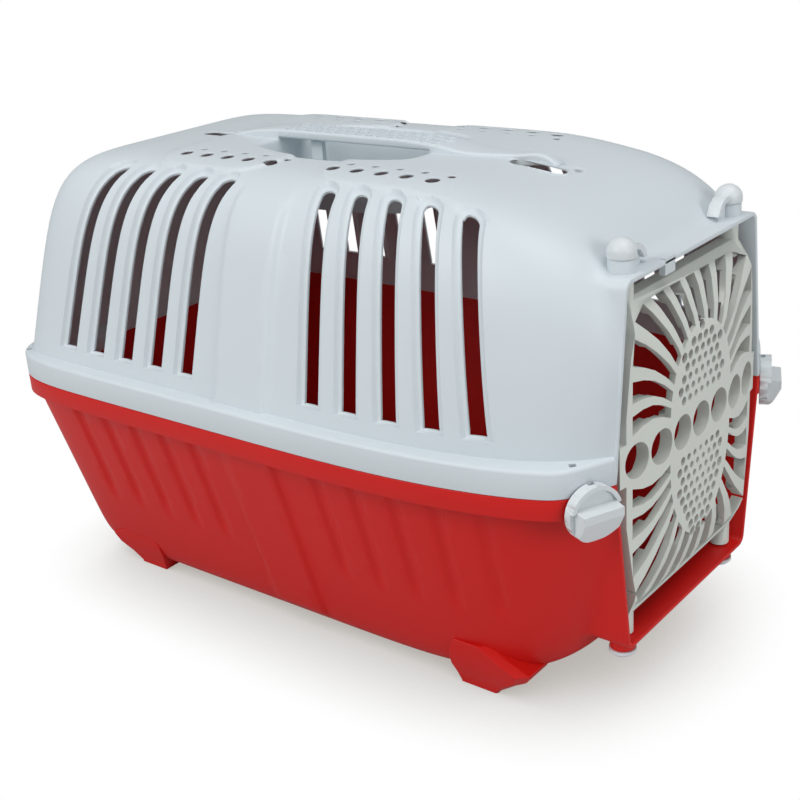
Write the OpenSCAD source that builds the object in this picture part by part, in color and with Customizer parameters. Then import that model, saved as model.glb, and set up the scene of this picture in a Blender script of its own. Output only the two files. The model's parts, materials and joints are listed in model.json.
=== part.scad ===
// Two-shell plastic pet carrier with a swinging grille door.
// Millimetres, +Z up, door towards +X, resting on its four feet at Z = 0.

/* [Cabin] */
// Length from the rear rim to the front edge of the door frame
body_length = 480; // [474:2:490]
// Width over the rim where the shells meet
rim_width = 314; // [310:2:320]
// Height of the joint between tub and hood
joint_z = 166; // [163:1:169]
// Height of the roof at its crown
roof_z = 322; // [318:1:328]
// Wall of both shells
wall = 3; // [2.6:0.1:3.4]
// Height of the tub's underside between the feet
belly_z = 6; // [5:0.5:8]

/* [Rim] */
// How far the rim stands out from the walls
rim_overhang = 7; // [6:0.5:9]
// Height of the hood's rim band
hood_rim_h = 17; // [15:1:20]
// Height of the tub's rim band
tub_rim_h = 13; // [12:1:15]
// Gap left between the two rims
rim_gap = 0.3; // [0.2:0.05:0.5]

/* [Side slots] */
// Slots in each group; each side has a rear and a front group
slot_count = 5; // [3:1:5]
// Spacing of the slots along the joint
slot_pitch = 29.4; // [26:0.2:30]
// Distance from mid cabin to the first slot of a group
slot_start = 55; // [50:1:58]
// Open width of a slot
slot_w = 9.5; // [7:0.5:11]
// Height of the lower end of the slots
slot_bottom_z = 195; // [190:1:200]
// Distance between the upper ends of the slots of the two sides, halved
slot_top_half = 97; // [92:1:104]
// How far the slots lean inwards, in degrees for each mm from mid cabin
slot_lean = 0.075; // [0.05:0.005:0.09]
// Border of the recess round a slot
slot_border = 3.8; // [2:0.2:5]
// Depth of the recess round a slot
slot_recess_d = 2.4; // [1.6:0.1:3]
// Depth of the slots' return walls, from the outside
slot_rim_d = 5.6; // [5.2:0.1:6.4]

/* [Flutes] */
// Radius of the flutes down the tub's sides
flute_r = 9; // [7:0.5:10]
// Depth of the flutes at their upper end
flute_d = 1.7; // [1:0.1:2]
// Height at which the flutes fade out
flute_end_z = 60; // [50:5:80]

/* [Centre band] */
// Width of the raised band round the middle
band_w = 44; // [36:2:50]
// How far the band stands out
band_d = 2.4; // [1.5:0.1:3]

/* [Feet] */
// Length of each foot's pad along the tub
foot_l = 28; // [22:2:34]
// Length of the slope from the pad out to the tub's end
foot_flare = 28; // [20:2:34]
// Width of each foot across the tub
foot_w = 28; // [24:2:34]
// Half distance between the left and right feet
foot_y = 92; // [84:2:96]
// Distance of the front feet ahead of mid cabin
foot_front = 153; // [148:1:160]
// Distance of the rear feet behind mid cabin
foot_rear = 156; // [148:1:160]

/* [Handle] */
// Length of the finger well
well_l = 132; // [120:2:140]
// Half width of the finger well at its middle
well_half = 50; // [46:1:52]
// Half width of the finger well at its ends
well_end_half = 34; // [30:1:38]
// Depth of the finger well below the roof
well_d = 30; // [26:1:34]
// Width of the grip bar
grip_w = 26; // [22:1:28]
// Height of the grip bar above the roof's crown
grip_rise = 8; // [6:0.5:10]
// Thickness of the grip bar
grip_t = 9; // [7:0.5:11]
// Width of the hexagonal dimples on the grip
dimple_w = 5.6; // [4:0.2:6]

/* [Roof] */
// Height of the two raised panels beside the cross channel
panel_rise = 1.6; // [1:0.2:2.4]
// Half width of the raised panels
panel_half = 88; // [80:1:94]
// Diameter of the large vent holes
vent_d = 9; // [6:0.5:10]
// Diameter of the small vent holes
vent_small_d = 5; // [4:0.5:6]
// Spacing of the vent holes along the roof
vent_pitch = 19.3; // [18:0.1:20]

/* [Door frame] */
// Half width of the frame at its top
frame_top_half = 84; // [83:1:88]
// Half width of the frame at the joint
frame_mid_half = 97; // [96:1:100]
// Half width of the frame at its foot
frame_foot_half = 81; // [80:1:85]
// Share of the hood's height that the front frame takes up
frame_share = 0.737; // [0.72:0.001:0.75]
// Height of the frame's foot
frame_foot_z = 48; // [46:1:50]

/* [Door] */
// Gap between the door's upper edge and the inside of the frame's top
door_top_gap = 11; // [10:1:15]
// Gap between the door's lower edge and the inside of the frame's foot
door_foot_gap = 14; // [13:1:17]
// Half width of the door
door_half_w = 83; // [79:1:84]
// Depth of the door's ribs
door_t = 8; // [6:0.5:9]
// How far the door's middle bulges out ahead of its top and foot
door_bulge = 12; // [9:0.5:13]
// Diameter of the seven big holes across the door
door_hole_d = 22; // [18:0.5:23]
// Spacing of the seven big holes
door_hole_pitch = 24.4; // [24:0.2:25]
// Width of the radial slots, in degrees
door_slot_deg = 8.6; // [6:0.2:9]
// Width of the door's solid border
door_border = 5.5; // [4:0.5:7]
// Diameter of the small holes in the middle of the honeycomb
comb_hole_d = 4; // [3.4:0.2:4.6]
// Spacing of the small holes
comb_pitch = 7.8; // [7.6:0.1:8.2]

/* [Door pins] */
// Distance of the pins from the middle of the door
pin_y = 67; // [65:0.5:68]
// Distance of the pins behind the frame's front edge
pin_back = 12; // [11:0.5:13]
// Diameter of the pins
pin_d = 7; // [6:0.5:7.5]
// Running clearance round a pin, on the radius
pin_clear = 0.08; // [0.05:0.01:0.1]
// Width of the pins' flattened tips
tip_flat = 5; // [4:0.2:5.4]
// Diameter of the domed pin heads
head_d = 17; // [15:0.5:18]
// Height of the round seats under the pin heads
seat_h = 8; // [6:0.5:9]
// Radius of the fins beside the levers
fin_r = 9; // [8:0.5:11]
// Thickness of the levers' curved arms
arm_t = 3.4; // [3:0.2:4]

/* [Side closures] */
// Diameter of the turning disc
disc_d = 34; // [32:1:36]
// Thickness of the disc
disc_t = 5; // [4.6:0.2:6]
// Height of the finger bar above the disc
bar_h = 9; // [7:0.5:10]
// Height of the rim round the disc's upper half
disc_rim_h = 2.2; // [1:0.2:3]
// Height of the closure's axis below the joint
disc_drop = 10; // [9:0.5:11]
// Diameter of the closure's shaft
shaft_d = 8; // [6:0.5:8]
// Direction that the closures face, in degrees from straight ahead
disc_turn = 24; // [20:1:28]
// Diameter of the stud that the closure holds down
stud_d = 4; // [3:0.2:4.4]

/* [Hidden] */

shell_grey = [0.80, 0.84, 0.86];
door_cream = [0.82, 0.82, 0.77];
tub_red = [0.75, 0.12, 0.13];
pin_grey = [0.83, 0.84, 0.84];

eps = 0.01;
big = 700;
ring_pts = 48;
round_fn = 48;

// Side closures: axis on the slanted front face of the wings
disc_in = 17.5;
bar_half = 13.5;
disc_gap = 0.3;
closure_tip = (disc_gap + disc_t + bar_h) * cos(disc_turn) - (disc_in - bar_half) * sin(disc_turn);
rear_x = -(body_length + closure_tip) / 2;
front_x = rear_x + body_length;
rear_length = 230.5;
mid_x = rear_x + rear_length;
disc_x = front_x - disc_in * sin(disc_turn);
disc_y = frame_mid_half + disc_in * cos(disc_turn);
disc_z = joint_z - disc_drop;
channel_r = 13;
channel_half = 2.3;
channel_d = 3;
boss_l = 20;

// Shell skins
wall_half = rim_width / 2 - rim_overhang;
rear_reach = mid_x - rear_x - rim_overhang;
nose = 19.5;
rim_nose = 49.5;
front_reach = front_x - mid_x + nose;
rim_reach = front_x - mid_x + rim_nose;
trim_x = front_x - wall;
rim_edge = 2.4;

// Centre band
band_x = mid_x + 7;
slot_mid_x = mid_x + 9;
slot_ledge = 2;
vent_start = 27;
vent_y = 70;
vent_small_y = 59;
strap_w = 9;
strap_l = 28;
strap_y = 4;
panel_behind = 122;
panel_ahead = 163;
panel_rear = slot_mid_x - panel_behind;
panel_front = slot_mid_x + panel_ahead;
panel_r = 24;

// Door and its pins
frame_top_z = joint_z + frame_share * (roof_z - joint_z);
pin_x = front_x - pin_back;
door_top_h = frame_top_z - wall - door_top_gap - joint_z;
door_foot_h = joint_z - frame_foot_z - wall - door_foot_gap;
door_face_x = front_x + 5;
door_foot_x = door_face_x - door_bulge;
door_side_drop = 5.5;
row_z = joint_z + 6;
row_half = 13;
stub_half = 89;
corner_half = 70;
shoulder_half = 79;
hip_half = 77;
shoulder_share = 0.683;
waist_share = 0.337;
knuckle_d = 13;
knuckle_gap = 0.4;
knuckle_root = 12;
knuckle_seat = 1;
comb_half = 31;
comb_margin = 6.5;
fan_side = 9;
fan_top = 8;
fan_foot = 6;
tip_l = 10;
seat_gap = 0.2;
arm_gap = 1.4;
arm_w = 8;
arm_root = 4;
arm_tip_z = 3.4;
hook_r = 13;
hook_y = 70;
hook_w = 24;
mouth_clear = 0.3;

// Share of the half extent left at height share v of a dome of exponent m
function dome(v, m) = pow(max(0, 1 - pow(v, m)), 1 / m);

// Half width and reach factors of the hood at height share v
function hood_half(v) = (1 - 0.25 * v) * dome(v, 7);
function hood_rear(v) = (1 - 0.06 * v) * dome(v, 10);
function hood_front(v) = (1 - 0.09 * v) * dome(v, 4.4);
function hood_nose(v) = 3.2 + 3 * v;

// The same for the tub at depth share u
function tub_half(u) = (1 - 0.3 * u) * dome(u, 20);
function tub_rear(u) = (1 - 0.035 * u) * dome(u, 20);
function tub_front(u) = (1 - 0.21 * u) * dome(u, 8);

// One level of a shell: a superellipse with its own rear and front reach
function level(rear, front, half, n_rear, n_front) = [
    for (i = [0:ring_pts - 1])
        let (t = 360 * i / ring_pts, c = cos(t), s = sin(t))
        let (n = c > 0 ? n_front : n_rear, reach = c > 0 ? front : rear)
        [mid_x + reach * sign(c) * pow(abs(c), 2 / n), half * sign(s) * pow(abs(s), 2 / n)]
];

// Skin through levels of equal point count, closed at both ends
module skin(levels, heights) {
    n = ring_pts;
    top = len(levels) - 1;
    points = [for (k = [0:top]) for (p = levels[k]) [p[0], p[1], heights[k]]];
    sides = [
        for (k = [0:top - 1]) for (i = [0:n - 1])
            let (j = (i + 1) % n, a = k * n, b = (k + 1) * n)
            each [[a + i, b + i, b + j], [a + i, b + j, a + j]]
    ];
    floor_face = [[for (i = [0:n - 1]) i]];
    roof_face = [[for (i = [n - 1:-1:0]) top * n + i]];
    polyhedron(points, concat(sides, floor_face, roof_face), convexity = 6);
}

hood_shares = [0, 0.2, 0.4, 0.56, 0.7, 0.8, 0.88, 0.935, 0.97, 0.99, 0.998];
tub_shares = [0.998, 0.985, 0.96, 0.92, 0.86, 0.75, 0.5, 0.25, 0];

// Hood skin moved inwards by t, started lower by dip
module hood_skin(t, dip) {
    rise = roof_z - t - joint_z;
    levels = [
        for (v = hood_shares) level(
            (rear_reach - t) * hood_rear(v),
            (front_reach - t) * hood_front(v),
            (wall_half - t) * hood_half(v),
            15 - 7 * v, hood_nose(v)
        )
    ];
    skin(levels, [for (v = hood_shares) joint_z + v * rise - (v == 0 ? dip : 0)]);
}

// Tub skin moved inwards by t, ended higher by lift
module tub_skin(t, lift) {
    drop = joint_z - belly_z - t;
    levels = [
        for (u = tub_shares) level(
            (rear_reach - t) * tub_rear(u),
            (front_reach - t) * tub_front(u),
            (wall_half - t) * tub_half(u),
            15 - 2 * u, 3.2 + 2.4 * u
        )
    ];
    skin(levels, [for (u = tub_shares) joint_z - rim_gap - u * drop + (u == 0 ? lift : 0)]);
}

// Rim outline moved inwards by t, cut back along the wings' slanted faces
module rim_outline(t) {
    difference() {
        polygon(level(mid_x - rear_x - t, rim_reach - t, rim_width / 2 - t, 9, 3.2));
        for (side = [-1, 1])
            translate([front_x, side * frame_mid_half])
                rotate(side * disc_turn)
                    translate([-t, -big / 2])
                        square([big, big]);
        translate([front_x - t, -big / 2]) square([big, big]);
    }
}

// Rim band: a shelf over a hanging skirt
module rim_band(z, h) {
    difference() {
        translate([0, 0, z]) linear_extrude(h) rim_outline(0);
        translate([0, 0, z - 1]) linear_extrude(h - wall + 1) rim_outline(wall);
    }
}

// Hood's rim band with its upper edge bevelled
module hood_rim() {
    top = joint_z + hood_rim_h;
    insets = [0, 0, 0.3 * rim_edge, rim_edge];
    intersection() {
        rim_band(joint_z, hood_rim_h);
        skin(
            [for (t = insets) level(mid_x - rear_x - t, rim_reach - t, rim_width / 2 - t, 9, 3.2)],
            [joint_z - 1, top - rim_edge, top - 0.3 * rim_edge, top]
        );
    }
}

// Door frame as a solid moved inwards by t, between heights z0 and z1
module frame_solid(t, z0, z1) {
    top = frame_top_z - t;
    foot = frame_foot_z + t;
    intersection() {
        translate([150 + t, 0, 0]) rotate([90, 0, 90])
            linear_extrude(front_x - 150 + t)
                polygon([
                    [-frame_mid_half + t, joint_z], [-frame_top_half + t, top - 5],
                    [-frame_top_half + t + 4, top], [frame_top_half - t - 4, top],
                    [frame_top_half - t, top - 5], [frame_mid_half - t, joint_z],
                    [frame_foot_half - t, foot + 5], [frame_foot_half - t - 4, foot],
                    [-frame_foot_half + t + 4, foot], [-frame_foot_half + t, foot + 5]
                ]);
        translate([0, -big / 2, z0]) cube([big, big, z1 - z0]);
    }
}

// Cross section of the centre band, between heights given as a list of shares
module band_solid(points) {
    translate([band_x - band_w / 2, 0, 0])
        rotate([90, 0, 90])
            linear_extrude(band_w)
                polygon(concat(
                    [for (p = points) [p[0], p[1]]],
                    [for (i = [len(points) - 1:-1:0]) [-points[i][0], points[i][1]]]
                ));
}

// Leaning upright cutters at all the side slots, with round upper ends
module slot_cutters(w, bottom, top_half) {
    for (dir = [-1, 1]) for (k = [0:slot_count - 1])
        let (d = slot_start + k * slot_pitch)
        translate([slot_mid_x + dir * d, 0, bottom])
            rotate([0, -dir * slot_lean * d, 0])
                linear_extrude(big) for (side = [-1, 1]) {
                    translate([0, side * (top_half + w / 2)]) circle(d = w, $fn = 24);
                    translate([-w / 2, side > 0 ? top_half + w / 2 : -big / 2 - top_half - w / 2])
                        square([w, big / 2]);
                }
}

// Material behind the slots' recesses, down to the return walls' depth
module slot_backing() {
    edge = slot_border + wall - 1;
    intersection() {
        slot_cutters(slot_w + 2 * edge, slot_bottom_z - slot_ledge - wall, slot_top_half - edge);
        difference() {
            hood_skin(wall / 2, 0);
            hood_skin(slot_rim_d, 1);
        }
    }
}

// Body of revolution with a domed end, used for the pin heads
module domed(d, straight, crown) {
    r = d / 2;
    sphere_r = (r * r + crown * crown) / (2 * crown);
    intersection() {
        cylinder(d = d, h = straight + crown, $fn = round_fn);
        translate([0, 0, straight + crown - sphere_r]) sphere(r = sphere_r, $fn = round_fn);
    }
}

// Well, spine and grip
well_x = mid_x + 3;
well_rear = well_x - well_l / 2;
well_front = well_x + well_l / 2;
grip_top = roof_z + grip_rise;

module rounded_bar(x0, x1, half, z0, z1, r) {
    hull() for (y = [-half + r, half - r]) for (z = [z0 + r, z1 - r])
        translate([x0, y, z]) rotate([0, 90, 0]) cylinder(r = r, h = x1 - x0, $fn = 20);
}

// Plan of the finger well grown by t, with bowed sides
module well_plan(t) {
    rise = well_half - well_end_half;
    bow_r = (pow(well_l / 2, 2) + rise * rise) / (2 * rise);
    intersection() {
        translate([well_rear - t, -big / 2]) square([well_l + 2 * t, big]);
        translate([well_x, bow_r - well_half]) circle(r = bow_r + t, $fn = 144);
        translate([well_x, well_half - bow_r]) circle(r = bow_r + t, $fn = 144);
    }
}

// Raised panels on the roof, parted by the cross channel
module roof_panels() {
    for (ends = [[panel_rear, band_x - band_w / 2], [band_x + band_w / 2, panel_front]])
        intersection() {
            hood_skin(-panel_rise, 0);
            translate([0, 0, roof_z - well_d]) linear_extrude(big)
                offset(r = panel_r, $fn = 32) offset(delta = -panel_r)
                    translate([ends[0], -panel_half]) square([ends[1] - ends[0], 2 * panel_half]);
        }
}

// Slots for the ends of a carrying strap, and the eyelet beside the front one
module strap_slots() {
    for (p = [[panel_front - 26, roof_z - 9], [panel_rear - 8, roof_z - 5]])
        translate([p[0], -strap_y, p[1]]) hull() for (dx = [-strap_l / 2, strap_l / 2])
            translate([dx, 0, 0]) cylinder(d = strap_w, h = 20, $fn = 20);
    translate([panel_front - 4, strap_y + 2, roof_z - 30]) cylinder(d = vent_small_d, h = 40, $fn = 16);
}

// Moulding holes in the hood's shelf, at its rear corners and beside the closures
module shelf_holes() {
    shelf_z = joint_z + hood_rim_h - wall - 1;
    for (side = [-1, 1]) {
        translate([rear_x + 17, side * (rim_width / 2 - 16), shelf_z])
            cylinder(d = stud_d, h = wall + 2, $fn = 16);
        translate([disc_x - 8, side * (disc_y + 4), shelf_z]) rotate(45)
            translate([-stud_d / 2, -stud_d / 2, 0]) cube([stud_d, stud_d, wall + 2]);
    }
}

// Spine from the rear anchor over the grip to the front anchor
module spine() {
    difference() {
        intersection() {
            translate([0, grip_w / 2, 0]) rotate([90, 0, 0]) linear_extrude(grip_w) polygon([
                [well_rear - 66, roof_z - 12], [well_rear - 66, roof_z - 3],
                [well_rear - 40, roof_z + 0.35 * grip_rise], [well_rear - 8, grip_top - 0.6],
                [well_rear + 10, grip_top], [well_front - 24, grip_top],
                [well_front + 4, grip_top - 1.6], [well_front + 30, roof_z + 0.35 * grip_rise],
                [well_front + 56, roof_z + 1], [well_front + 92, roof_z - 3],
                [well_front + 102, roof_z - 8], [well_front + 102, roof_z - 16],
                [well_front, roof_z - 12], [well_front, grip_top - grip_t],
                [well_rear, grip_top - grip_t], [well_rear, roof_z - 12]
            ]);
            rounded_bar(-big / 2, big / 2, grip_w / 2, roof_z - 30, grip_top, 4);
        }
        dimples();
    }
}

// Hexagonal dimples on the grip
module dimples() {
    step = dimple_w + 1.6;
    for (i = [0:floor((well_l - 10) / step)]) for (j = [-1, 0, 1])
        translate([well_rear + 8 + step * (i + (j == 0 ? 0.5 : 0)), j * step * 0.87, grip_top - 1.2])
            cylinder(d = dimple_w * 1.15, h = 10, $fn = 6);
}

// Round vents in two rows on each side of the handle
module roof_vents() {
    for (side = [-1, 1]) for (dir = [-1, 1]) for (k = [0:4])
        let (x = slot_mid_x + dir * (vent_start + vent_pitch * k)) {
            translate([x, side * vent_y, roof_z - 40]) cylinder(d = vent_d, h = 60, $fn = 24);
            translate([x + 6, side * vent_small_y, roof_z - 14]) cylinder(d = vent_small_d, h = 30, $fn = 16);
        }
}

// Axis of a side closure, looking along its facing direction from +Z
module at_closure(side) {
    translate([disc_x, side * disc_y, disc_z])
        rotate([0, 0, side * disc_turn])
            rotate([0, 90, 0])
                children();
}

// Arc hooks that reach from the hood round the tub's rear edge
module rear_hooks() {
    wall_in = rear_x + rim_overhang + wall;
    intersection() {
        for (side = [-1, 1]) translate([rear_x, side * hook_y - hook_w / 2, joint_z])
            rotate([-90, 0, 0]) difference() {
                cylinder(r = hook_r + wall, h = hook_w, $fn = round_fn);
                translate([0, 0, -1]) cylinder(r = hook_r, h = hook_w + 2, $fn = round_fn);
            }
        union() {
            translate([wall_in + 0.9, -big / 2, joint_z - 7]) cube([30, big, 8]);
            translate([wall_in - wall / 2, -big / 2, joint_z]) cube([30, big, 12]);
        }
    }
}

module top_shell() color(shell_grey) {
    difference() {
        union() {
            difference() {
                union() {
                    intersection() {
                        hood_skin(0, 0);
                        translate([-big / 2, -big / 2, 0]) cube([big / 2 + trim_x, big, big]);
                    }
                    hood_rim();
                    roof_panels();
                    frame_solid(0, joint_z, big);
                    band_solid([for (v = [0, 0.2, 0.4, 0.56, 0.7, 0.8, 0.88, 0.93])
                        [wall_half * hood_half(v) + band_d, joint_z + v * (roof_z - joint_z)]]);
                    translate([0, 0, roof_z - well_d - wall]) linear_extrude(well_d) well_plan(wall);
                }
                difference() {
                    union() {
                        hood_skin(wall, 1);
                        frame_solid(wall, joint_z - 1, big);
                    }
                    translate([0, 0, roof_z - well_d - wall]) linear_extrude(big) well_plan(wall);
                    slot_backing();
                }
                translate([0, 0, roof_z - well_d]) linear_extrude(big) well_plan(0);
                slot_cutters(slot_w, slot_bottom_z, slot_top_half);
                difference() {
                    slot_cutters(
                        slot_w + 2 * slot_border, slot_bottom_z - slot_ledge, slot_top_half - slot_border
                    );
                    hood_skin(slot_recess_d, 1);
                }
                roof_vents();
            }
            spine();
            rear_hooks();
            for (side = [-1, 1]) {
                translate([pin_x, side * pin_y, frame_top_z - eps])
                    cylinder(d = head_d - 1, h = seat_h, $fn = round_fn);
                // Fin under the lever's arm
                translate([pin_x - 1, side * (pin_y - head_d / 2), frame_top_z - eps])
                    rotate([90, 0, 90]) linear_extrude(3) intersection() {
                        circle(r = fin_r, $fn = round_fn);
                        translate([side > 0 ? -fin_r : 0, 0]) square([fin_r, fin_r]);
                    }
                at_closure(side) translate([-channel_r, 0, -wall])
                    cylinder(d = stud_d, h = wall + disc_gap + channel_d - 0.8, $fn = 24);
            }
            // Stop tab in the middle of the frame's top
            translate([front_x - 4, -39, frame_top_z - wall - 6]) cube([4, 12, 7]);
        }
        for (side = [-1, 1]) translate([pin_x, side * pin_y, frame_top_z - wall - 1])
            cylinder(d = pin_d + 2 * pin_clear, h = seat_h + wall + 2, $fn = round_fn);
        strap_slots();
        shelf_holes();
    }
}

// Foot with its pad at [x, y], sloping up towards the tub's end at dir
module foot(x, y, dir) {
    translate([x, y, 0]) scale([dir, 1, 1]) hull() {
        translate([-foot_l / 2 - 4, -foot_w / 2, 18]) cube([foot_l + 4 + foot_flare, foot_w, 5]);
        translate([-foot_l / 2, -foot_w / 2 + 3, 0]) cube([foot_l, foot_w - 6, 1]);
    }
}

// Flutes that fade out down the tub's sides
module flutes() {
    drop = joint_z - belly_z;
    top = joint_z - tub_rim_h;
    y_top = wall_half * tub_half((joint_z - top) / drop) + flute_r - flute_d;
    y_end = wall_half * tub_half((joint_z - flute_end_z) / drop) + flute_r;
    tilt = atan((y_top - y_end) / (top - flute_end_z));
    for (side = [-1, 1]) for (dir = [-1, 1]) for (k = [0:slot_count - 1])
        translate([slot_mid_x + dir * (slot_start + k * slot_pitch), side * y_end, flute_end_z])
            rotate([-side * tilt, 0, 0])
                cylinder(r = flute_r, h = (top - flute_end_z) / cos(tilt), $fn = 32);
}

module base_tub() color(tub_red) {
    joint = joint_z - rim_gap;
    difference() {
        union() {
            difference() {
                union() {
                    difference() {
                        intersection() {
                            tub_skin(0, 0);
                            translate([-big / 2, -big / 2, 0]) cube([big / 2 + trim_x, big, big]);
                        }
                        flutes();
                    }
                    rim_band(joint - tub_rim_h, tub_rim_h);
                    frame_solid(0, 0, joint);
                    band_solid([for (u = [0.96, 0.92, 0.86, 0.75, 0.5, 0.25, 0])
                        [wall_half * tub_half(u) + band_d, joint - u * (joint_z - belly_z)]]);
                    for (side = [-1, 1]) {
                        foot(mid_x + foot_front, side * foot_y, 1);
                        foot(mid_x - foot_rear, side * foot_y, -1);
                    }
                }
                tub_skin(wall, 1);
                frame_solid(wall, 0, joint_z + 1);
            }
            // Bearing ribs that the hood's arc hooks turn on
            intersection() {
                for (side = [-1, 1]) translate([rear_x, side * hook_y - hook_w / 2 - 2, joint_z])
                    rotate([-90, 0, 0]) cylinder(r = hook_r - 0.1, h = hook_w + 4, $fn = round_fn);
                translate([rear_x + rim_overhang + wall / 2, -big / 2, 0])
                    cube([40, big, joint]);
            }
            for (side = [-1, 1]) {
                intersection() {
                    at_closure(side) translate([0, 0, -boss_l])
                        cylinder(d = shaft_d + 7, h = boss_l, $fn = round_fn);
                    translate([-big / 2, -big / 2, 0]) cube([big, big, joint]);
                }
                translate([pin_x, side * pin_y, frame_foot_z - seat_h + 1])
                    cylinder(d = head_d - 1, h = seat_h, $fn = round_fn);
            }
        }
        for (side = [-1, 1]) {
            at_closure(side) translate([0, 0, -boss_l + 4])
                cylinder(d = shaft_d + 2 * pin_clear, h = boss_l, $fn = round_fn);
            translate([pin_x, side * pin_y, frame_foot_z - seat_h])
                cylinder(d = pin_d + 2 * pin_clear, h = seat_h + wall + 2, $fn = round_fn);
        }
    }
}

// Outline of the grille door about the joint, moved inwards by b
module door_outline(b) {
    up = [for (share = [1, shoulder_share, waist_share]) share * door_top_h];
    down = [for (share = [waist_share, shoulder_share, 1]) share * door_foot_h];
    polygon([
        [-corner_half + b, up[0] - b], [-shoulder_half + b, up[1]], [-door_half_w + b, up[2]],
        [-door_half_w + b, -down[0]], [-hip_half + b, -down[1]], [-corner_half + b, -down[2] + b],
        [corner_half - b, -down[2] + b], [hip_half - b, -down[1]], [door_half_w - b, -down[0]],
        [door_half_w - b, up[2]], [shoulder_half - b, up[1]], [corner_half - b, up[0] - b]
    ]);
}

// Space behind the bulged face, moved back by t
module door_bulk(t) {
    bulge = [[1, 0], [0.871, 0.5], [0.733, 0.85], [0.614, 1]];
    margin = 20;
    intersection() {
        translate([-t, big / 2, joint_z]) rotate([90, 0, 0]) linear_extrude(big) polygon(concat(
            [[0, -door_foot_h - margin]],
            [for (p = bulge) [door_foot_x + p[1] * door_bulge, -p[0] * door_foot_h]],
            [for (i = [len(bulge) - 1:-1:0])
                [door_foot_x + bulge[i][1] * door_bulge, bulge[i][0] * door_top_h]],
            [[0, door_top_h + margin]]
        ));
        translate([-t, 0, 0]) linear_extrude(big) polygon([
            [0, -stub_half], [door_face_x - 1.15 * door_side_drop, -stub_half],
            [door_face_x - 0.5 * door_side_drop, -0.74 * stub_half],
            [door_face_x, -0.47 * stub_half], [door_face_x, 0.47 * stub_half],
            [door_face_x - 0.5 * door_side_drop, 0.74 * stub_half],
            [door_face_x - 1.15 * door_side_drop, stub_half], [0, stub_half]
        ]);
    }
}

// Slot of the fan at angle a, from the ellipse [a0, b0] to the border [a1, b1]
function fan_in(a, e) = 1 / sqrt(pow(cos(a) / e[0], 2) + pow(sin(a) / e[1], 2));
function fan_out(a, e) = pow(pow(abs(cos(a)) / e[0], 8) + pow(abs(sin(a)) / e[1], 8), -1 / 8);
function fan_point(a, s, inner, outer, bow) =
    let (r = fan_in(a, inner) * (1 - s) + fan_out(a, outer) * s)
    [r * cos(a), r * sin(a) + bow * sin(180 * s) * pow(cos(a), 2)];

module fan(inner, outer, bow) {
    count = 13;
    half = door_slot_deg / 2;
    steps = 4;
    for (k = [0:count - 1]) let (a = 180 * (k + 0.5) / count)
        polygon(concat(
            [for (s = [0:steps]) fan_point(a - half, s / steps, inner, outer, bow)],
            [for (s = [steps:-1:0]) fan_point(a + half, s / steps, inner, outer, bow)]
        ));
}

// Centres of the small holes in a half ellipse of half width w and height h
function comb(w, h) = [
    for (j = [0:floor(h / (comb_pitch * 0.866))]) for (i = [-5:5])
        let (y = (i + (j % 2) / 2) * comb_pitch, z = j * comb_pitch * 0.866)
        if (pow(y / w, 2) + pow(z / h, 2) < 1) [y, z, pow(y / w, 2) + pow(z / h, 2)]
];

module comb_holes(z0, dir, w, h) {
    for (p = comb(w, h))
        translate([0, p[0], z0 + dir * p[1]]) rotate([0, 90, 0])
            cylinder(d = comb_hole_d + 2.6 * p[2], h = big, $fn = 16);
}

// Hooked knuckle open towards the cabin
module knuckle(h) {
    difference() {
        cylinder(d = knuckle_d, h = h, $fn = round_fn);
        translate([0, 0, -1]) cylinder(d = pin_d + 2 * pin_clear, h = h + 2, $fn = round_fn);
        translate([-knuckle_d, -tip_flat / 2 - mouth_clear, -1])
            cube([knuckle_d, tip_flat + 2 * mouth_clear, h + 2]);
    }
}

module door() color(door_cream) {
    up = row_z + row_half - joint_z;
    down = joint_z - row_z + row_half;
    knuckle_h = door_top_gap - knuckle_gap + knuckle_root;
    up_comb = 0.51 * (door_top_h - up);
    down_comb = 0.61 * (door_foot_h - down);
    foot_knuckle = door_foot_gap - knuckle_seat - knuckle_gap + knuckle_root;
    difference() {
        intersection() {
            door_bulk(0);
            translate([0, 0, joint_z]) rotate([90, 0, 90]) linear_extrude(big) union() {
                door_outline(0);
                translate([-stub_half, row_z - joint_z - row_half]) square([2 * stub_half, 2 * row_half]);
            }
        }
        door_bulk(door_t);
        translate([0, 0, joint_z + up]) rotate([90, 0, 90]) linear_extrude(big)
            fan(
                [comb_half + fan_side, up_comb + fan_top],
                [door_half_w - door_border, door_top_h - door_border - up], 5
            );
        translate([0, 0, joint_z - down]) rotate([90, 0, 90]) linear_extrude(big) mirror([0, 1])
            fan(
                [comb_half + fan_side, down_comb + fan_foot],
                [door_half_w - door_border, door_foot_h - door_border - down], 5
            );
        comb_holes(row_z + row_half + comb_margin, 1, comb_half, up_comb);
        comb_holes(row_z - row_half - comb_margin, -1, comb_half, down_comb);
        for (k = [-3:3]) translate([0, k * door_hole_pitch, row_z]) rotate([0, 90, 0])
            cylinder(d = door_hole_d, h = big, $fn = round_fn);
        for (side = [-1, 1]) translate([pin_x, side * pin_y, 0])
            cylinder(d = knuckle_d - eps, h = big, $fn = round_fn);
    }
    for (side = [-1, 1]) {
        translate([pin_x, side * pin_y, joint_z + door_top_h - knuckle_root]) knuckle(knuckle_h);
        translate([pin_x, side * pin_y, frame_foot_z + wall + knuckle_seat + knuckle_gap])
            knuckle(foot_knuckle);
    }
}

// Pin with a flattened tip, pointing down from its seat
module pin(length) {
    translate([0, 0, -length]) cylinder(d = pin_d, h = length + eps, $fn = round_fn);
    translate([0, 0, -length - tip_l]) intersection() {
        cylinder(d = pin_d, h = tip_l + eps, $fn = round_fn);
        translate([-pin_d, -tip_flat / 2, 0]) cube([2 * pin_d, tip_flat, tip_l + eps]);
    }
}

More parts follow.
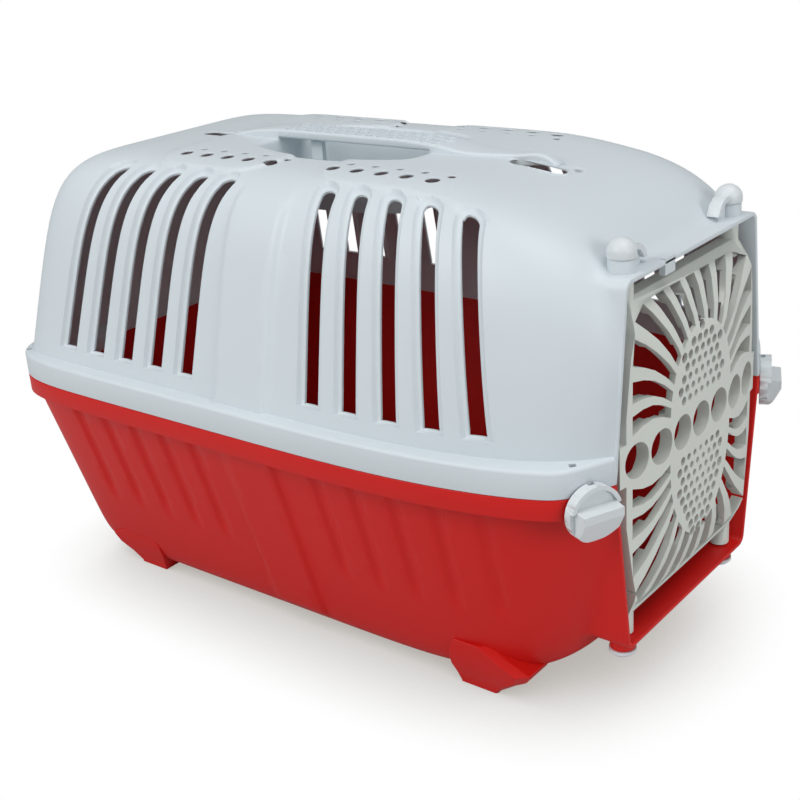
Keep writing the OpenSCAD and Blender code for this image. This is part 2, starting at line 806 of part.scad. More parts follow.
// Lever pin: a domed head whose arm curves over the fin
module lever_pin(side) color(pin_grey) {
    arm_r = fin_r + arm_gap + arm_t;
    translate([pin_x, side * pin_y, frame_top_z + seat_h + seat_gap]) {
        domed(head_d, 4, 7);
        pin(seat_h + wall);
    }
    translate([pin_x - arm_w / 2, side * (pin_y - head_d / 2), frame_top_z])
        rotate([90, 0, 90]) linear_extrude(arm_w) difference() {
            circle(r = arm_r, $fn = round_fn);
            circle(r = arm_r - arm_t, $fn = round_fn);
            translate([-2 * arm_r, -2 * arm_r]) square([4 * arm_r, 2 * arm_r + arm_tip_z]);
            translate([side > 0 ? arm_root : -arm_root - 2 * arm_r, -2 * arm_r])
                square([2 * arm_r, 4 * arm_r]);
        }
}

module foot_pin(side) color(pin_grey) {
    translate([pin_x, side * pin_y, frame_foot_z - seat_h + 1 - seat_gap]) mirror([0, 0, 1]) {
        domed(head_d, 2, 4);
        pin(seat_h + wall);
    }
}

// Turning closure: disc with an annular channel behind it and a finger bar
module side_closure(side) color(pin_grey) {
    at_closure(side) {
        translate([0, 0, -boss_l + 5]) cylinder(d = shaft_d, h = boss_l - 5 + disc_gap + 1, $fn = round_fn);
        difference() {
            translate([0, 0, disc_gap]) cylinder(d = disc_d, h = disc_t, $fn = round_fn);
            translate([0, 0, disc_gap - 1]) difference() {
                cylinder(r = channel_r + channel_half, h = channel_d + 1, $fn = round_fn);
                translate([0, 0, -1]) cylinder(r = channel_r - channel_half, h = channel_d + 3, $fn = round_fn);
            }
            translate([-disc_d, -channel_half, disc_gap - 1])
                cube([disc_d - channel_r + channel_half, 2 * channel_half, channel_d + 1]);
        }
        // Finger bar with a cheek that slopes to the disc's lower edge
        intersection() {
            translate([0, bar_half, disc_gap + disc_t - eps]) rotate([90, 0, 0])
                linear_extrude(2 * bar_half) polygon([
                    [-5, 0], [-4, bar_h], [1, bar_h], [4, bar_h - 1.5], [disc_d / 2 - 1, 1], [disc_d / 2, 0]
                ]);
            union() {
                cylinder(d = disc_d, h = big, $fn = round_fn);
                translate([-big / 2, 0, 0]) cube([big / 2 + 4, big, big]);
            }
        }
        // Rim round the disc's upper half
        translate([0, 0, disc_gap + disc_t - eps]) intersection() {
            difference() {
                cylinder(d = disc_d, h = disc_rim_h, $fn = round_fn);
                translate([0, 0, -1]) cylinder(d = disc_d - 5, h = disc_rim_h + 2, $fn = round_fn);
            }
            translate([-big, -big / 2, 0]) cube([big - 4, big, big]);
        }
    }
}

base_tub();
top_shell();
door();
lever_pin(-1);  // lever_pin_left
lever_pin(1);  // lever_pin_right
foot_pin(-1);  // foot_pin_left
foot_pin(1);  // foot_pin_right
side_closure(-1);  // side_closure_left
side_closure(1);  // side_closure_right
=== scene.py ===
import bpy, bmesh, json, math
import numpy as np
from mathutils import Matrix, Vector
from mathutils.geometry import delaunay_2d_cdt


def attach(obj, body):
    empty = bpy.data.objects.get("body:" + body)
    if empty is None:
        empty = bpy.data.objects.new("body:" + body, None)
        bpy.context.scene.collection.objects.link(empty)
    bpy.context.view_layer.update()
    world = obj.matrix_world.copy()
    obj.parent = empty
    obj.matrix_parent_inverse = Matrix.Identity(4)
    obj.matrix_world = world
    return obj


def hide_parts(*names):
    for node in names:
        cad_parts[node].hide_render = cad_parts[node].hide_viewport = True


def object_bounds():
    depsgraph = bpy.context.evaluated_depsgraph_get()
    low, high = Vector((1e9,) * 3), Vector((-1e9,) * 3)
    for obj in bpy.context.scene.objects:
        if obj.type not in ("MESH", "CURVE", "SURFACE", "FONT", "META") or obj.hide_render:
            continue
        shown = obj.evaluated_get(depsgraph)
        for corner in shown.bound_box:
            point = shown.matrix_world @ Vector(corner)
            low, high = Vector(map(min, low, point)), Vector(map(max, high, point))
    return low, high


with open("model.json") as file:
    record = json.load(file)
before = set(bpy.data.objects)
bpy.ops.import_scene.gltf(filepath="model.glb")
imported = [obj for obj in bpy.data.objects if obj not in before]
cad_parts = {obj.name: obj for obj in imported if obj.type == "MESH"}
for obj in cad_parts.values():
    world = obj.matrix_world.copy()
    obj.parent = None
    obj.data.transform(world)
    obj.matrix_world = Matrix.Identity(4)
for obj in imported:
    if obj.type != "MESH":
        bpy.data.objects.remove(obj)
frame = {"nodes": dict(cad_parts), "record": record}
cadLow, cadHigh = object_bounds()
mm = 0.001


def placed(name, data):
    thing = bpy.data.objects.new(name, data)
    bpy.context.scene.collection.objects.link(thing)
    return thing


def nodesOf(owner):
    owner.use_nodes = True
    owner.node_tree.nodes.clear()
    return owner.node_tree.nodes.new, owner.node_tree.links.new


# Camera, floor and light

cameraValues = {
    "azimuth": 39.37,  # degrees round the carrier from straight ahead of its side
    "elevation": 22.0,
    "roll": -4.02,
    "place": (566.1, -685.0, 494.8),  # mm
    "lens": 59.551,
    "sensor": 36,
    "shift": (-0.0001, 0.001),
    "clip": (0.02, 40),
}


def makeCamera(c):
    a, e, r = (math.radians(c[k]) for k in ("azimuth", "elevation", "roll"))
    back = Vector((math.sin(a) * math.cos(e), -math.cos(a) * math.cos(e), math.sin(e)))
    right = Vector((0, 0, 1)).cross(back).normalized()
    up = back.cross(right)
    turnedRight = right * math.cos(r) + up * math.sin(r)
    turnedUp = up * math.cos(r) - right * math.sin(r)
    data = bpy.data.cameras.new("camera")
    camera = placed("camera", data)
    turn = Matrix((turnedRight, turnedUp, back)).transposed().to_4x4()
    camera.matrix_world = Matrix.Translation(Vector(c["place"]) * mm) @ turn
    data.sensor_width, data.lens = c["sensor"], c["lens"]
    data.shift_x, data.shift_y = c["shift"]
    data.clip_start, data.clip_end = c["clip"]
    bpy.context.scene.camera = camera


makeCamera(cameraValues)
print("camera placed")

stageValues = {
    "floorWhite": 0.62,
    "floorSize": 7.0,  # metres from the middle to each edge
    # painted shadow: near the carrier the floor's camera colour is darkened by ambient occlusion, not by the
    # lamps
    "shadowReach": 0.10,  # metres over which a near surface darkens the floor
    "shadowRamp": (0.12, 0.82),
    "shadowTone": (0.46, 0.43, 0.40),
    "shadowSamples": 12,
    "worldStrength": 0.28,
    "worldTone": (0.96, 0.98, 1.0),
    "aim": (0, 0, 0.15),
    "lamps": (  # name, power, size and place
        ("keyLight", 33, 1.3, (-0.75, -2.0, 1.6)),
        ("topLight", 21, 1.5, (0.7, 0.0, 2.3)),
        ("fillLight", 15, 0.9, (2.4, -0.35, 0.8)),
    ),
}


# One shader for what the camera sees, the other for the light that bounces
def splitByRay(node, link, out, bounced, seen):
    mix, path = node("ShaderNodeMixShader"), node("ShaderNodeLightPath")
    link(path.outputs["Is Camera Ray"], mix.inputs["Fac"])
    link(bounced.outputs[0], mix.inputs[1])
    link(seen.outputs[0], mix.inputs[2])
    link(mix.outputs[0], out.inputs["Surface"])


def makeFloor(s):
    mesh = bpy.data.meshes.new("floor")
    bm = bmesh.new()
    bmesh.ops.create_grid(bm, x_segments=1, y_segments=1, size=s["floorSize"])
    bm.to_mesh(mesh)
    bm.free()
    white = bpy.data.materials.new("studioFloor")
    node, link = nodesOf(white)
    out, diffuse, paintedShadowGlow = (node("ShaderNode" + k) for k in ("OutputMaterial", "BsdfDiffuse", "Emission"))
    diffuse.inputs["Color"].default_value = (s["floorWhite"],) * 3 + (1,)
    paintedShadowGlow.inputs["Strength"].default_value = 1
    # Painted shadow: the camera sees the floor as a glow whose colour darkens with ambient occlusion near the
    # carrier, while bounced light meets the plain diffuse floor
    contact, ramp = node("ShaderNodeAmbientOcclusion"), node("ShaderNodeValToRGB")
    contact.samples = s["shadowSamples"]
    contact.inputs["Distance"].default_value = s["shadowReach"]
    for stop, place, tone in zip(ramp.color_ramp.elements, s["shadowRamp"], (s["shadowTone"], (1, 1, 1))):
        stop.position, stop.color = place, tone + (1,)
    link(contact.outputs["AO"], ramp.inputs["Fac"])
    link(ramp.outputs["Color"], paintedShadowGlow.inputs["Color"])
    splitByRay(node, link, out, diffuse, paintedShadowGlow)
    mesh.materials.append(white)
    placed("floor", mesh)


def makeLight(s):
    world = bpy.data.worlds.new("studio")
    bpy.context.scene.world = world
    node, link = nodesOf(world)
    out, seen, bounced = (node("ShaderNode" + k) for k in ("OutputWorld", "Background", "Background"))
    for sky, tone, strength in ((seen, (1, 1, 1), 1), (bounced, s["worldTone"], s["worldStrength"])):
        sky.inputs["Color"].default_value = tone + (1,)
        sky.inputs["Strength"].default_value = strength
    splitByRay(node, link, out, bounced, seen)
    for name, power, size, place in s["lamps"]:
        data = bpy.data.lights.new(name, "AREA")
        data.energy, data.size = power, size
        lamp = placed(name, data)
        lamp.location = place
        lamp.rotation_euler = (Vector(s["aim"]) - Vector(place)).to_track_quat("-Z", "Y").to_euler()


makeFloor(stageValues)
makeLight(stageValues)
bpy.context.scene.view_settings.view_transform = "Standard"
print("stage lit")

# Moulded plastics

plasticValues = {
    "shell_grey": {"name": "hoodPlastic", "colour": (0.62, 0.68, 0.71), "rough": 0.42, "grain": 0.05},
    "door_cream": {"name": "doorPlastic", "colour": (0.66, 0.69, 0.64), "rough": 0.42, "grain": 0.05},
    "tub_red": {"name": "tubPlastic", "colour": (0.60, 0.0085, 0.006), "rough": 0.44, "grain": 0.06},
    "pin_grey": {"name": "pinPlastic", "colour": (0.66, 0.70, 0.72), "rough": 0.34, "grain": 0.04},
}


finishValues = {
    "cloud": (9, 3),  # scale and detail of the slow change of tone
    "grain": (1900, 2),  # the same of the fine texture
    "dim": (0.965, 0.965, 0.97),
    "bright": 1.03,
    "roughSpread": (-0.05, 0.07),
    "bumpDepth": 0.0004,
    "ior": 1.49,
    "specular": 0.3,
}


def makePlastic(p, f):
    material = bpy.data.materials.new(p["name"])
    node, link = nodesOf(material)
    out, shader = node("ShaderNodeOutputMaterial"), node("ShaderNodeBsdfPrincipled")
    coords = node("ShaderNodeTexCoord")
    cloud, grain = node("ShaderNodeTexNoise"), node("ShaderNodeTexNoise")
    for noise, key in ((cloud, "cloud"), (grain, "grain")):
        noise.inputs["Scale"].default_value, noise.inputs["Detail"].default_value = f[key]
        link(coords.outputs["Object"], noise.inputs["Vector"])
    tone, rough = node("ShaderNodeMixRGB"), node("ShaderNodeMapRange")
    tone.inputs["Color1"].default_value = (*(c * dim for c, dim in zip(p["colour"], f["dim"])), 1)
    tone.inputs["Color2"].default_value = (*(min(1, c * f["bright"]) for c in p["colour"]), 1)
    for key, spread in zip(("To Min", "To Max"), f["roughSpread"]):
        rough.inputs[key].default_value = p["rough"] + spread
    bump = node("ShaderNodeBump")
    bump.inputs["Strength"].default_value, bump.inputs["Distance"].default_value = p["grain"], f["bumpDepth"]
    link(cloud.outputs["Fac"], tone.inputs["Fac"])
    link(tone.outputs["Color"], shader.inputs["Base Color"])
    link(grain.outputs["Fac"], rough.inputs["Value"])
    link(rough.outputs["Result"], shader.inputs["Roughness"])
    link(grain.outputs["Fac"], bump.inputs["Height"])
    link(bump.outputs["Normal"], shader.inputs["Normal"])
    shader.inputs["IOR"].default_value = f["ior"]
    shader.inputs["Specular IOR Level"].default_value = f["specular"]
    link(shader.outputs[0], out.inputs["Surface"])
    return material


plastics = {slot: makePlastic(values, finishValues) for slot, values in plasticValues.items()}
slotOf = {row["node"]: row["material_slot"] for row in frame["record"]["subparts"]}
for name, obj in frame["nodes"].items():
    obj.data.materials.clear()
    obj.data.materials.append(plastics[slotOf[name]])
print("plastics mixed")

# The two shells' form, in millimetres

rearX = cadLow[0] / mm
frontX, midX = rearX + 480, rearX + 230.5
jointZ, roofZ = 166.0, 322.0
halfWidth = 157.0  # over the rims
overhang = 7.0
rearReach, frontReach = 223.5, 269
wall = 3.0
roofFoot = 295.0  # the roof's own features stay above this height


def dome(share, power):
    return np.maximum(0, 1 - share**power) ** (1 / power)


hoodForm = {
    "grid": (4.6, 7),  # mm between lines, degrees that one step may turn
    "base": jointZ,
    "rise": roofZ - jointZ,
    "half": lambda v: (halfWidth - overhang) * (1 - 0.25 * v) * dome(v, 7),
    "rear": lambda v: rearReach * (1 - 0.06 * v) * dome(v, 10),
    "front": lambda v: frontReach * (1 - 0.09 * v) * dome(v, 4.5),
    "rearPower": lambda v: 15 - 7 * v,
    "frontPower": lambda v: 3.2 + 3 * v,
}
tubForm = {
    "grid": (5.6, 7),
    "base": jointZ - 0.3,
    "rise": 6.0 - (jointZ - 0.3),
    "half": lambda v: (halfWidth - overhang) * (1 - 0.3 * v) * dome(v, 20),
    "rear": lambda v: rearReach * (1 - 0.035 * v) * dome(v, 20),
    "front": lambda v: frontReach * (1 - 0.21 * v) * dome(v, 8),
    "rearPower": lambda v: 15 - 2 * v,
    "frontPower": lambda v: 3.2 + 2.4 * v,
}


def outlineAt(form, front, v):
    power = np.where(front, form["frontPower"](v), form["rearPower"](v))
    return power, np.where(front, form["front"](v), form["rear"](v))


def smooth(x):
    x = np.clip(x, 0, 1)
    return x * x * (3 - 2 * x)


def faded(x, span):
    return smooth((x - span[0]) / span[1])


# Places along a curve, closer together where one of the curves bends
def evenly(along, curves, step, turn):
    density = np.full_like(along, 1 / step)
    for x, y in curves:
        heading = np.unwrap(np.arctan2(np.gradient(y, along), np.gradient(x, along)))
        density = np.maximum(density, 0.7 / step + abs(np.gradient(heading, along)) / math.radians(turn))
    total = np.concatenate([[0], np.cumsum((density[1:] + density[:-1]) / 2 * np.diff(along))])
    return np.interp(np.linspace(0, total[-1], int(total[-1]) + 2), total, along)


# Unrolls a form: distance round its foot, distance up its wall, and the grid lines in both
def measure(form):
    fine = 1 - 0.1 * (1 - np.linspace(0, 1, 1500)) ** 9
    v = np.unique(np.concatenate([np.linspace(0, 0.9, 500), fine]))
    z = abs(form["rise"]) * v
    q = np.concatenate([[0], np.cumsum(np.hypot(np.diff(form["half"](v)), np.diff(z)))])
    t = np.linspace(-math.pi, math.pi, 60001)
    ca, sa = np.cos(t), np.sin(t)
    power, reach = outlineAt(form, ca > 0, 0.0)
    half = form["half"](0.0)
    r = (abs(ca / reach) ** power + abs(sa / half) ** power) ** (-1 / power)
    x, y = r * ca, r * sa
    along = np.concatenate([[0], np.cumsum(np.hypot(np.diff(x), np.diff(y)))])
    c = np.sign(x) * abs(x / reach) ** (power / 2)
    s = np.sign(y) * abs(y / half) ** (power / 2)
    form.update(v=v, q=q, along=along, c=c, s=s, t=np.unwrap(np.arctan2(s, c)))
    form["acrossLines"] = evenly(along, [(x, y)], *form["grid"])
    keep = np.linspace(0, q[-1], 900)
    vk = np.interp(keep, q, v)
    sides = [(form[k](vk), abs(form["rise"]) * vk) for k in ("half", "front", "rear")]
    form["upLines"] = evenly(keep, sides, *form["grid"])


def surfaceAt(form, ab):
    a, v = ab[:, 0] % form["along"][-1], np.interp(ab[:, 1], form["q"], form["v"])
    c, s = np.interp(a, form["along"], form["c"]), np.interp(a, form["along"], form["s"])
    n, reach = outlineAt(form, c > 0, v)
    x = midX + reach * np.sign(c) * abs(c) ** (2 / n)
    y = form["half"](v) * np.sign(s) * abs(s) ** (2 / n)
    return np.stack([x, y, form["base"] + form["rise"] * v], -1)


def normalAt(form, ab):
    step, top = 0.4, form["q"][-1]
    low, high = np.maximum(0, ab[:, 1] - step), np.minimum(top, ab[:, 1] + step)
    ahead = surfaceAt(form, ab + [step, 0]) - surfaceAt(form, ab - [step, 0])
    above, below = (surfaceAt(form, np.stack([ab[:, 0], b], -1)) for b in (high, low))
    n = np.cross(ahead, above - below) * math.copysign(1, form["rise"])
    size = np.linalg.norm(n, axis=1, keepdims=True)
    flat = size[:, 0] < 1e-3
    n[flat], size[flat] = (0, 0, math.copysign(1, form["rise"])), 1
    return n / size


def sheetPlace(form, t, v):
    return np.stack([np.interp(t, form["t"], form["along"]), np.interp(v, form["v"], form["q"])], -1)


def bySide(form, x, v, side):
    front = x > midX
    n, reach = outlineAt(form, front, v)
    c = np.where(front, 1, -1) * np.minimum(1, abs(x - midX) / reach) ** (n / 2)
    return sheetPlace(form, side * np.arccos(c), v)


def byFront(form, y, v):
    n = form["frontPower"](v)
    s = np.sign(y) * np.minimum(1, abs(y) / form["half"](v)) ** (n / 2)
    return sheetPlace(form, np.arcsin(s), v)


def byRoof(form, x, y):
    dx, dy, front = abs(x - midX), abs(y), x > midX
    lo, hi = np.zeros_like(dx), np.ones_like(dx)
    for _ in range(50):
        v = (lo + hi) / 2
        n, reach = outlineAt(form, front, v)
        reach = np.maximum(1e-9, reach)
        full = (dx / reach) ** n + (dy / np.maximum(1e-9, form["half"](v))) ** n
        lo, hi = np.where(full < 1, v, lo), np.where(full < 1, hi, v)
    c = np.where(front, 1, -1) * np.minimum(1, dx / reach) ** (n / 2)
    return sheetPlace(form, np.where(y < 0, -1, 1) * np.arccos(c), v)


def roofCircle(form, x, y, r, steps):
    t = np.linspace(0, 2 * math.pi, steps, endpoint=False)
    return byRoof(form, x + r * np.cos(t), y + r * np.sin(t))


def frontAt(form, y, v):
    n = form["frontPower"](v)
    return midX + form["front"](v) * np.maximum(0, 1 - (abs(y) / form["half"](v)) ** n) ** (1 / n)


def sideAt(form, x, v):
    front = x > midX
    n, reach = outlineAt(form, front, v)
    return form["half"](v) * np.maximum(0, 1 - np.minimum(1, abs(x - midX) / reach) ** n) ** (1 / n)


# Pieces from rings and sheets


def cleaned(mesh, weld, thin):
    bm = bmesh.new()
    bm.from_mesh(mesh)
    if weld:
        bmesh.ops.remove_doubles(bm, verts=bm.verts, dist=weld)
    if thin:
        bmesh.ops.dissolve_degenerate(bm, edges=bm.edges, dist=thin)
    bmesh.ops.recalc_face_normals(bm, faces=bm.faces)
    bm.to_mesh(mesh)
    bm.free()


def shaded(mesh, sharp):
    mesh.shade_smooth()
    mesh.set_sharp_from_angle(angle=math.radians(sharp))


def meshPiece(name, verts, faces, slot, body, node, sharp=38):
    mesh = bpy.data.meshes.new(name)
    faces = [tuple(int(i) for i in face) for face in faces]
    mesh.from_pydata([tuple(p) for p in np.asarray(verts) * mm], [], faces)
    cleaned(mesh, 2e-6, 1e-7)
    shaded(mesh, sharp)
    piece = placed(name, mesh)
    mesh.materials.append(plastics[slot])
    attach(piece, body)
    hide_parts(node)
    return piece


def flatten(piece):
    flat = piece.modifiers.new("flat", "DECIMATE")
    flat.decimate_type, flat.angle_limit = "DISSOLVE", math.radians(0.6)


def soften(piece, width, segments=2, angle=35):
    bevel = piece.modifiers.new("soft edges", "BEVEL")
    bevel.affect, bevel.width, bevel.segments = "EDGES", width * mm, segments
    bevel.profile, bevel.material = 0.5, -1
    bevel.limit_method, bevel.angle_limit = "ANGLE", math.radians(angle)
    bevel.harden_normals = True
    return piece


def arc(cx, cz, r, a0, a1, steps=12):
    return [(cx + r * math.cos(t), cz + r * math.sin(t)) for t in np.radians(np.linspace(a0, a1, steps))]


def lofted(rings):
    n, faces = len(rings[0]), []
    for a in range(0, (len(rings) - 1) * n, n):
        faces += [(a + i, a + (i + 1) % n, a + n + (i + 1) % n, a + n + i) for i in range(n)]
    faces += [tuple(range(n))[::-1], tuple(range((len(rings) - 1) * n, len(rings) * n))]
    return np.concatenate([np.asarray(r, float) for r in rings]), faces


def turned(profile, place, axis=(0, 0, 1), steps=40):
    spin = Vector((0, 0, 1)).rotation_difference(Vector(axis)).to_matrix()
    rings = []
    for r, h in profile:
        ring = [spin @ Vector((r * math.cos(t), r * math.sin(t), h)) + Vector(place)
                for t in np.linspace(0, 2 * math.pi, steps, endpoint=False)]
        rings.append([tuple(p) for p in ring])
    return lofted(rings)


def joined(*solids):
    verts, faces, start = [], [], 0
    for v, f in solids:
        verts.append(np.asarray(v, float))
        faces += [tuple(i + start for i in face) for face in f]
        start += len(v)
    return np.concatenate(verts), faces


def inside(points, outline):
    hit = np.zeros(len(points), bool)
    near = np.all((points >= outline.min(0)) & (points <= outline.max(0)), axis=1)
    x, y = points[near].T
    odd = np.zeros(len(x), bool)
    for (ax, ay), (bx, by) in zip(outline, np.roll(outline, -1, 0)):
        across = (ay > y) != (by > y)
        odd ^= across & (x < (bx - ax) * (y - ay) / (by - ay + 1e-30) + ax)
    hit[near] = odd
    return hit


# A sheet in the form's own two coordinates: lines are kept as edges, holes are left out
def cutSheet(form, lines, holes, keepPoint):
    across, up = np.meshgrid(form["acrossLines"], form["upLines"])
    grid = np.stack([across.ravel(), up.ravel()], -1)
    grid = grid[keepPoint(grid)]
    for hole in holes:
        grid = grid[~inside(grid, hole)]
    points, edges, kinds = [grid], [], [np.full(len(grid), -1)]
    start = len(grid)
    for number, (line, closed) in enumerate(lines):
        count = len(line)
        points.append(line)
        kinds.append(np.full(count, number))
        edges += [(start + i, start + i + 1) for i in range(count - 1)]
        if closed:
            edges.append((start + count - 1, start))
        start += count
    points, kinds = np.concatenate(points), np.concatenate(kinds)
    order = np.concatenate([np.zeros(len(grid), int)] + [np.arange(len(line)) for line, _ in lines])
    out = delaunay_2d_cdt([Vector(p) for p in points], edges, [], 0, 1e-5, True)
    flat = np.array([(p.x, p.y) for p in out[0]])
    tris = np.array(out[2])
    line = np.array([max((kinds[i], order[i]) for i in src) if src else (-1, 0) for src in out[3]])
    middle = flat[tris].mean(1)
    gone = np.zeros(len(tris), bool)
    for hole in holes:
        gone |= inside(middle, hole)
    tris = tris[~gone]
    size = np.cross(flat[tris[:, 1]] - flat[tris[:, 0]], flat[tris[:, 2]] - flat[tris[:, 0]])
    return flat, tris[abs(size) > 1e-7], line


# Grid points that keep their distance from a line, or lie on the seam
def clearOf(grid, line, length):
    keep = np.ones(len(grid), bool)
    for k in range(0, len(grid), 4000):
        a, b = grid[k : k + 4000].T
        gap = np.min(np.hypot(a[:, None] - line[None, :, 0], b[:, None] - line[None, :, 1]), 1)
        keep[k : k + 4000] = (gap > 1.4) | (a < 1e-6) | (a > length - 1e-6)
    return keep


# The sheet is bent, doubled inwards, and each open edge gets the lip of its kind
def mouldedShell(name, form, sheet, lips, outerDepth, innerDepth, body, node, slot):
    flat, tris, line = sheet
    base, n = surfaceAt(form, flat), normalAt(form, flat)
    outer = base - n * outerDepth(base)[:, None]
    inner = base - n * innerDepth(base)[:, None]
    count, length, crown = len(flat), form["along"][-1], form["q"][-1]
    same = np.arange(count)
    left = np.where(flat[:, 0] < 1e-3)[0]
    for i in np.where(flat[:, 0] > length - 1e-3)[0]:
        same[i] = left[np.argmin(abs(flat[left, 1] - flat[i, 1]))]
    tris = same[tris if form["rise"] > 0 else tris[:, ::-1]]
    sides = np.concatenate([tris[:, [0, 1]], tris[:, [1, 2]], tris[:, [2, 0]]])
    there = set((sides[:, 0] * count + sides[:, 1]).tolist())
    rim = [(i, j) for i, j in sides.tolist() if j * count + i not in there and i != j]
    rim = [(i, j) for i, j in rim if min(flat[i, 1], flat[j, 1]) < crown - 1e-3]
    away = np.zeros((count, 3))
    for i, j in rim:
        side = np.cross(outer[j] - outer[i], n[i] + n[j])
        side /= np.linalg.norm(side) + 1e-12
        away[i] += side
        away[j] += side
    verts, faces = [outer, inner], [tuple(t) for t in tris] + [tuple(t[::-1] + count) for t in tris]
    total, columns = 2 * count, {}
    for i in {k for edge in rim for k in edge}:
        kind, order = line[i]
        push = away[i] / (np.linalg.norm(away[i]) + 1e-12)
        parts = lips(kind, order, outer[i], inner[i], n[i], push)
        column = []
        for points in parts:
            column.append(list(range(total, total + len(points))))
            verts.append(np.array(points))
            total += len(points)
        columns[i] = column
    for i, j in rim:
        a, b = columns[i], columns[j]
        if len(a) == 1:
            ca, cb = [i] + a[0] + [i + count], [j] + b[0] + [j + count]
            faces += [(cb[k], ca[k], ca[k + 1], cb[k + 1]) for k in range(len(ca) - 1)]
            continue
        for start, ends, far in ((0, 0, False), (count, 1, True)):
            ca, cb = [i + start] + a[ends], [j + start] + b[ends]
            strip = [(cb[k], ca[k], ca[k + 1], cb[k + 1]) for k in range(len(ca) - 2)]
            strip.append((cb[-2], ca[-2], ca[-1]))
            faces += [f[::-1] for f in strip] if far else strip
    return meshPiece(name, np.concatenate(verts), faces, slot, body, node)


def bowed(start, ctrl, stop):
    return [(1 - t) ** 2 * start + 2 * t * (1 - t) * ctrl + t * t * stop for t in (0.25, 0.5, 0.75, 1)]


def smallLip(r, outer, inner, n, push):
    turn = np.radians([30, 60, 90])
    curve = [outer + push * r * math.sin(t) - n * r * (1 - math.cos(t)) for t in turn]
    return [curve + [inner + push * r + n * 0.3, inner + push * (r - 0.3)]]


# Door frame: both shells turn forwards round the doorway

frameValues = {
    "midHalf": 97.0,
    "topHalf": 83.4,
    "footHalf": 80.3,
    "topZ": jointZ + 0.737 * (roofZ - jointZ),
    "footZ": 48.0,
    "cornerRound": 7.0,
    "softness": 6.5,  # radius where the walls turn into the frame
    "edge": ((-0.9, 0), (-0.25, 0.3), (0, 0.9), (0, 2.1), (-0.25, 2.7), (-0.9, 3)),  # forwards, inwards
}
fv = frameValues


def frameLine(z0, z1, endHalf):
    up, r = math.copysign(1, z1 - z0), fv["cornerRound"]
    slope = (fv["midHalf"] - endHalf) / abs(z1 - z0)
    ny, nz = -1 / math.hypot(1, slope), up * slope / math.hypot(1, slope)
    z = z1 - up * r
    y = -fv["midHalf"] + abs(z - z0) * slope + r / abs(ny)
    ys, zs = np.linspace(-fv["midHalf"], y + r * ny, 26), np.linspace(z0, z + r * nz, 26)
    points = [(p, (ny, nz)) for p in zip(ys, zs)]
    points[0] = ((-fv["midHalf"], z0), (-1, 0))
    begin, end = math.atan2(nz, ny), math.atan2(up, 0)
    if end - begin > math.pi:
        begin += 2 * math.pi
    for t in np.linspace(begin, end, 8)[1:]:
        points.append(((y + r * math.cos(t), z + r * math.sin(t)), (math.cos(t), math.sin(t))))
    for yy in np.linspace(y, 0, 18)[1:]:
        points.append(((yy, z1), (0, up)))
    points += [((-p[0], p[1]), (-m[0], m[1])) for p, m in points[-2::-1]]
    return points


# The doorway in the sheet's coordinates, and the same closed below the sheet's foot
def doorwayLine(form, line):
    grow = fv["softness"]
    y = np.array([p[0] + grow * m[0] for p, m in line])
    v = np.array([(p[1] + grow * m[1] - form["base"]) / form["rise"] for p, m in line])
    doorway = byFront(form, y, np.maximum(0, v))
    doorway[[0, -1], 1] = 0
    return doorway, np.concatenate([doorway, [[doorway[-1, 0], -9], [doorway[0, 0], -9]]])


def doorwayLip(form, line, order, outer, inner):
    (y, z), (ny, nz) = line[order]
    share = np.array([max(0.0, (z - form["base"]) / form["rise"])])
    x = float(frontAt(form, np.array([abs(y)]), share)[0])
    end = min(x + fv["softness"], frontX - 1.6)
    ctrl = np.array([min(x, end - 0.2), y, z])
    stop = np.array([end, y, z])
    edge = [np.array([frontX + dx, y - inset * ny, z - inset * nz]) for dx, inset in fv["edge"]]
    back = max(inner[0], x - wall - 2)
    edge.append(np.array([min(back, frontX - 3), y - wall * ny, z - wall * nz]))
    return [bowed(outer, ctrl, stop) + edge]


def straightLip(outer, inner):
    return [[outer + (inner - outer) * k / 12 for k in range(1, 12)]]


# Hood

slotValues = {
    "middle": midX + 9,
    "start": 55.0,
    "pitch": 29.4,
    "lean": (0.10, 0.0028),  # shift per mm of draw-in: least, and more per mm from the middle
    "half": 5.2,
    "bottom": 194.0,
    "topY": 91.5,
    "recess": 2.9,
    "border": 4.3,
    "ledge": 0.42,  # the recess's share of its border that is left at the foot
    "returnDepth": 5.0,
    "lip": 0.7,
    "steps": (0.7, 1.7, 2.6, 3.4, 4.3),  # lines round each slot, lip to border
    "curve": 2.2,  # power of the recess's fall towards the slot
    "returnFrom": (2.7, 0.9),  # distance at which the inner wall starts to return, and over how much
    "clear": 1.1,
}
sv = slotValues
bandValues = {
    "middle": midX + 7,
    "half": 22.0,
    "proud": 2.4,
    "edge": 2.2,
    "steps": (-2.2, -0.75, 0.75, 2.2),
    "clear": 3.4,
    "hoodFade": (302, 15),  # height from which it sinks into the roof, and over how much
    "hoodTop": 0.96,  # shares of the forms at which its edge lines end
    "tubTop": 0.97,
    "gridTop": 0.955,
}
bv = bandValues
roofValues = {
    "panelHalf": 88.0,
    "panelRise": 1.6,
    "panelRear": sv["middle"] - 122,
    "panelFront": sv["middle"] + 163,
    "panelRound": 24.0,
    "ventStart": 27.0,
    "ventPitch": 19.3,
    "ventRows": ((70.0, 4.5, 0.0), (59.0, 2.5, 6.0)),  # distance out, radius, shift forwards
    "strapSlots": ((sv["middle"] + 137, -5.5, 5.5), (sv["middle"] - 130, -8.4, 5.0)),  # x, y, radius
    "strapHalf": 14.0,
    "eyelet": (sv["middle"] + 158, 7.0, 2.8),
    "panelSteps": (-1.6, -0.5, 0.5, 1.6),
    "panelFade": (sv["middle"] + 93, 60),  # place from which the front panel sinks in, and over how much
    "panelClear": 2.6,
    "ventClear": 2.8,
    "ventSteps": (0.6, 2.0),
    "strapSteps": (0.8, 2.4),
    "holeLip": 0.45,
    "thinFrom": (2.2, 1.5),  # distance from a hole at which the wall thickens, and over how much
    "thinWall": 1.3,
}
rv = roofValues
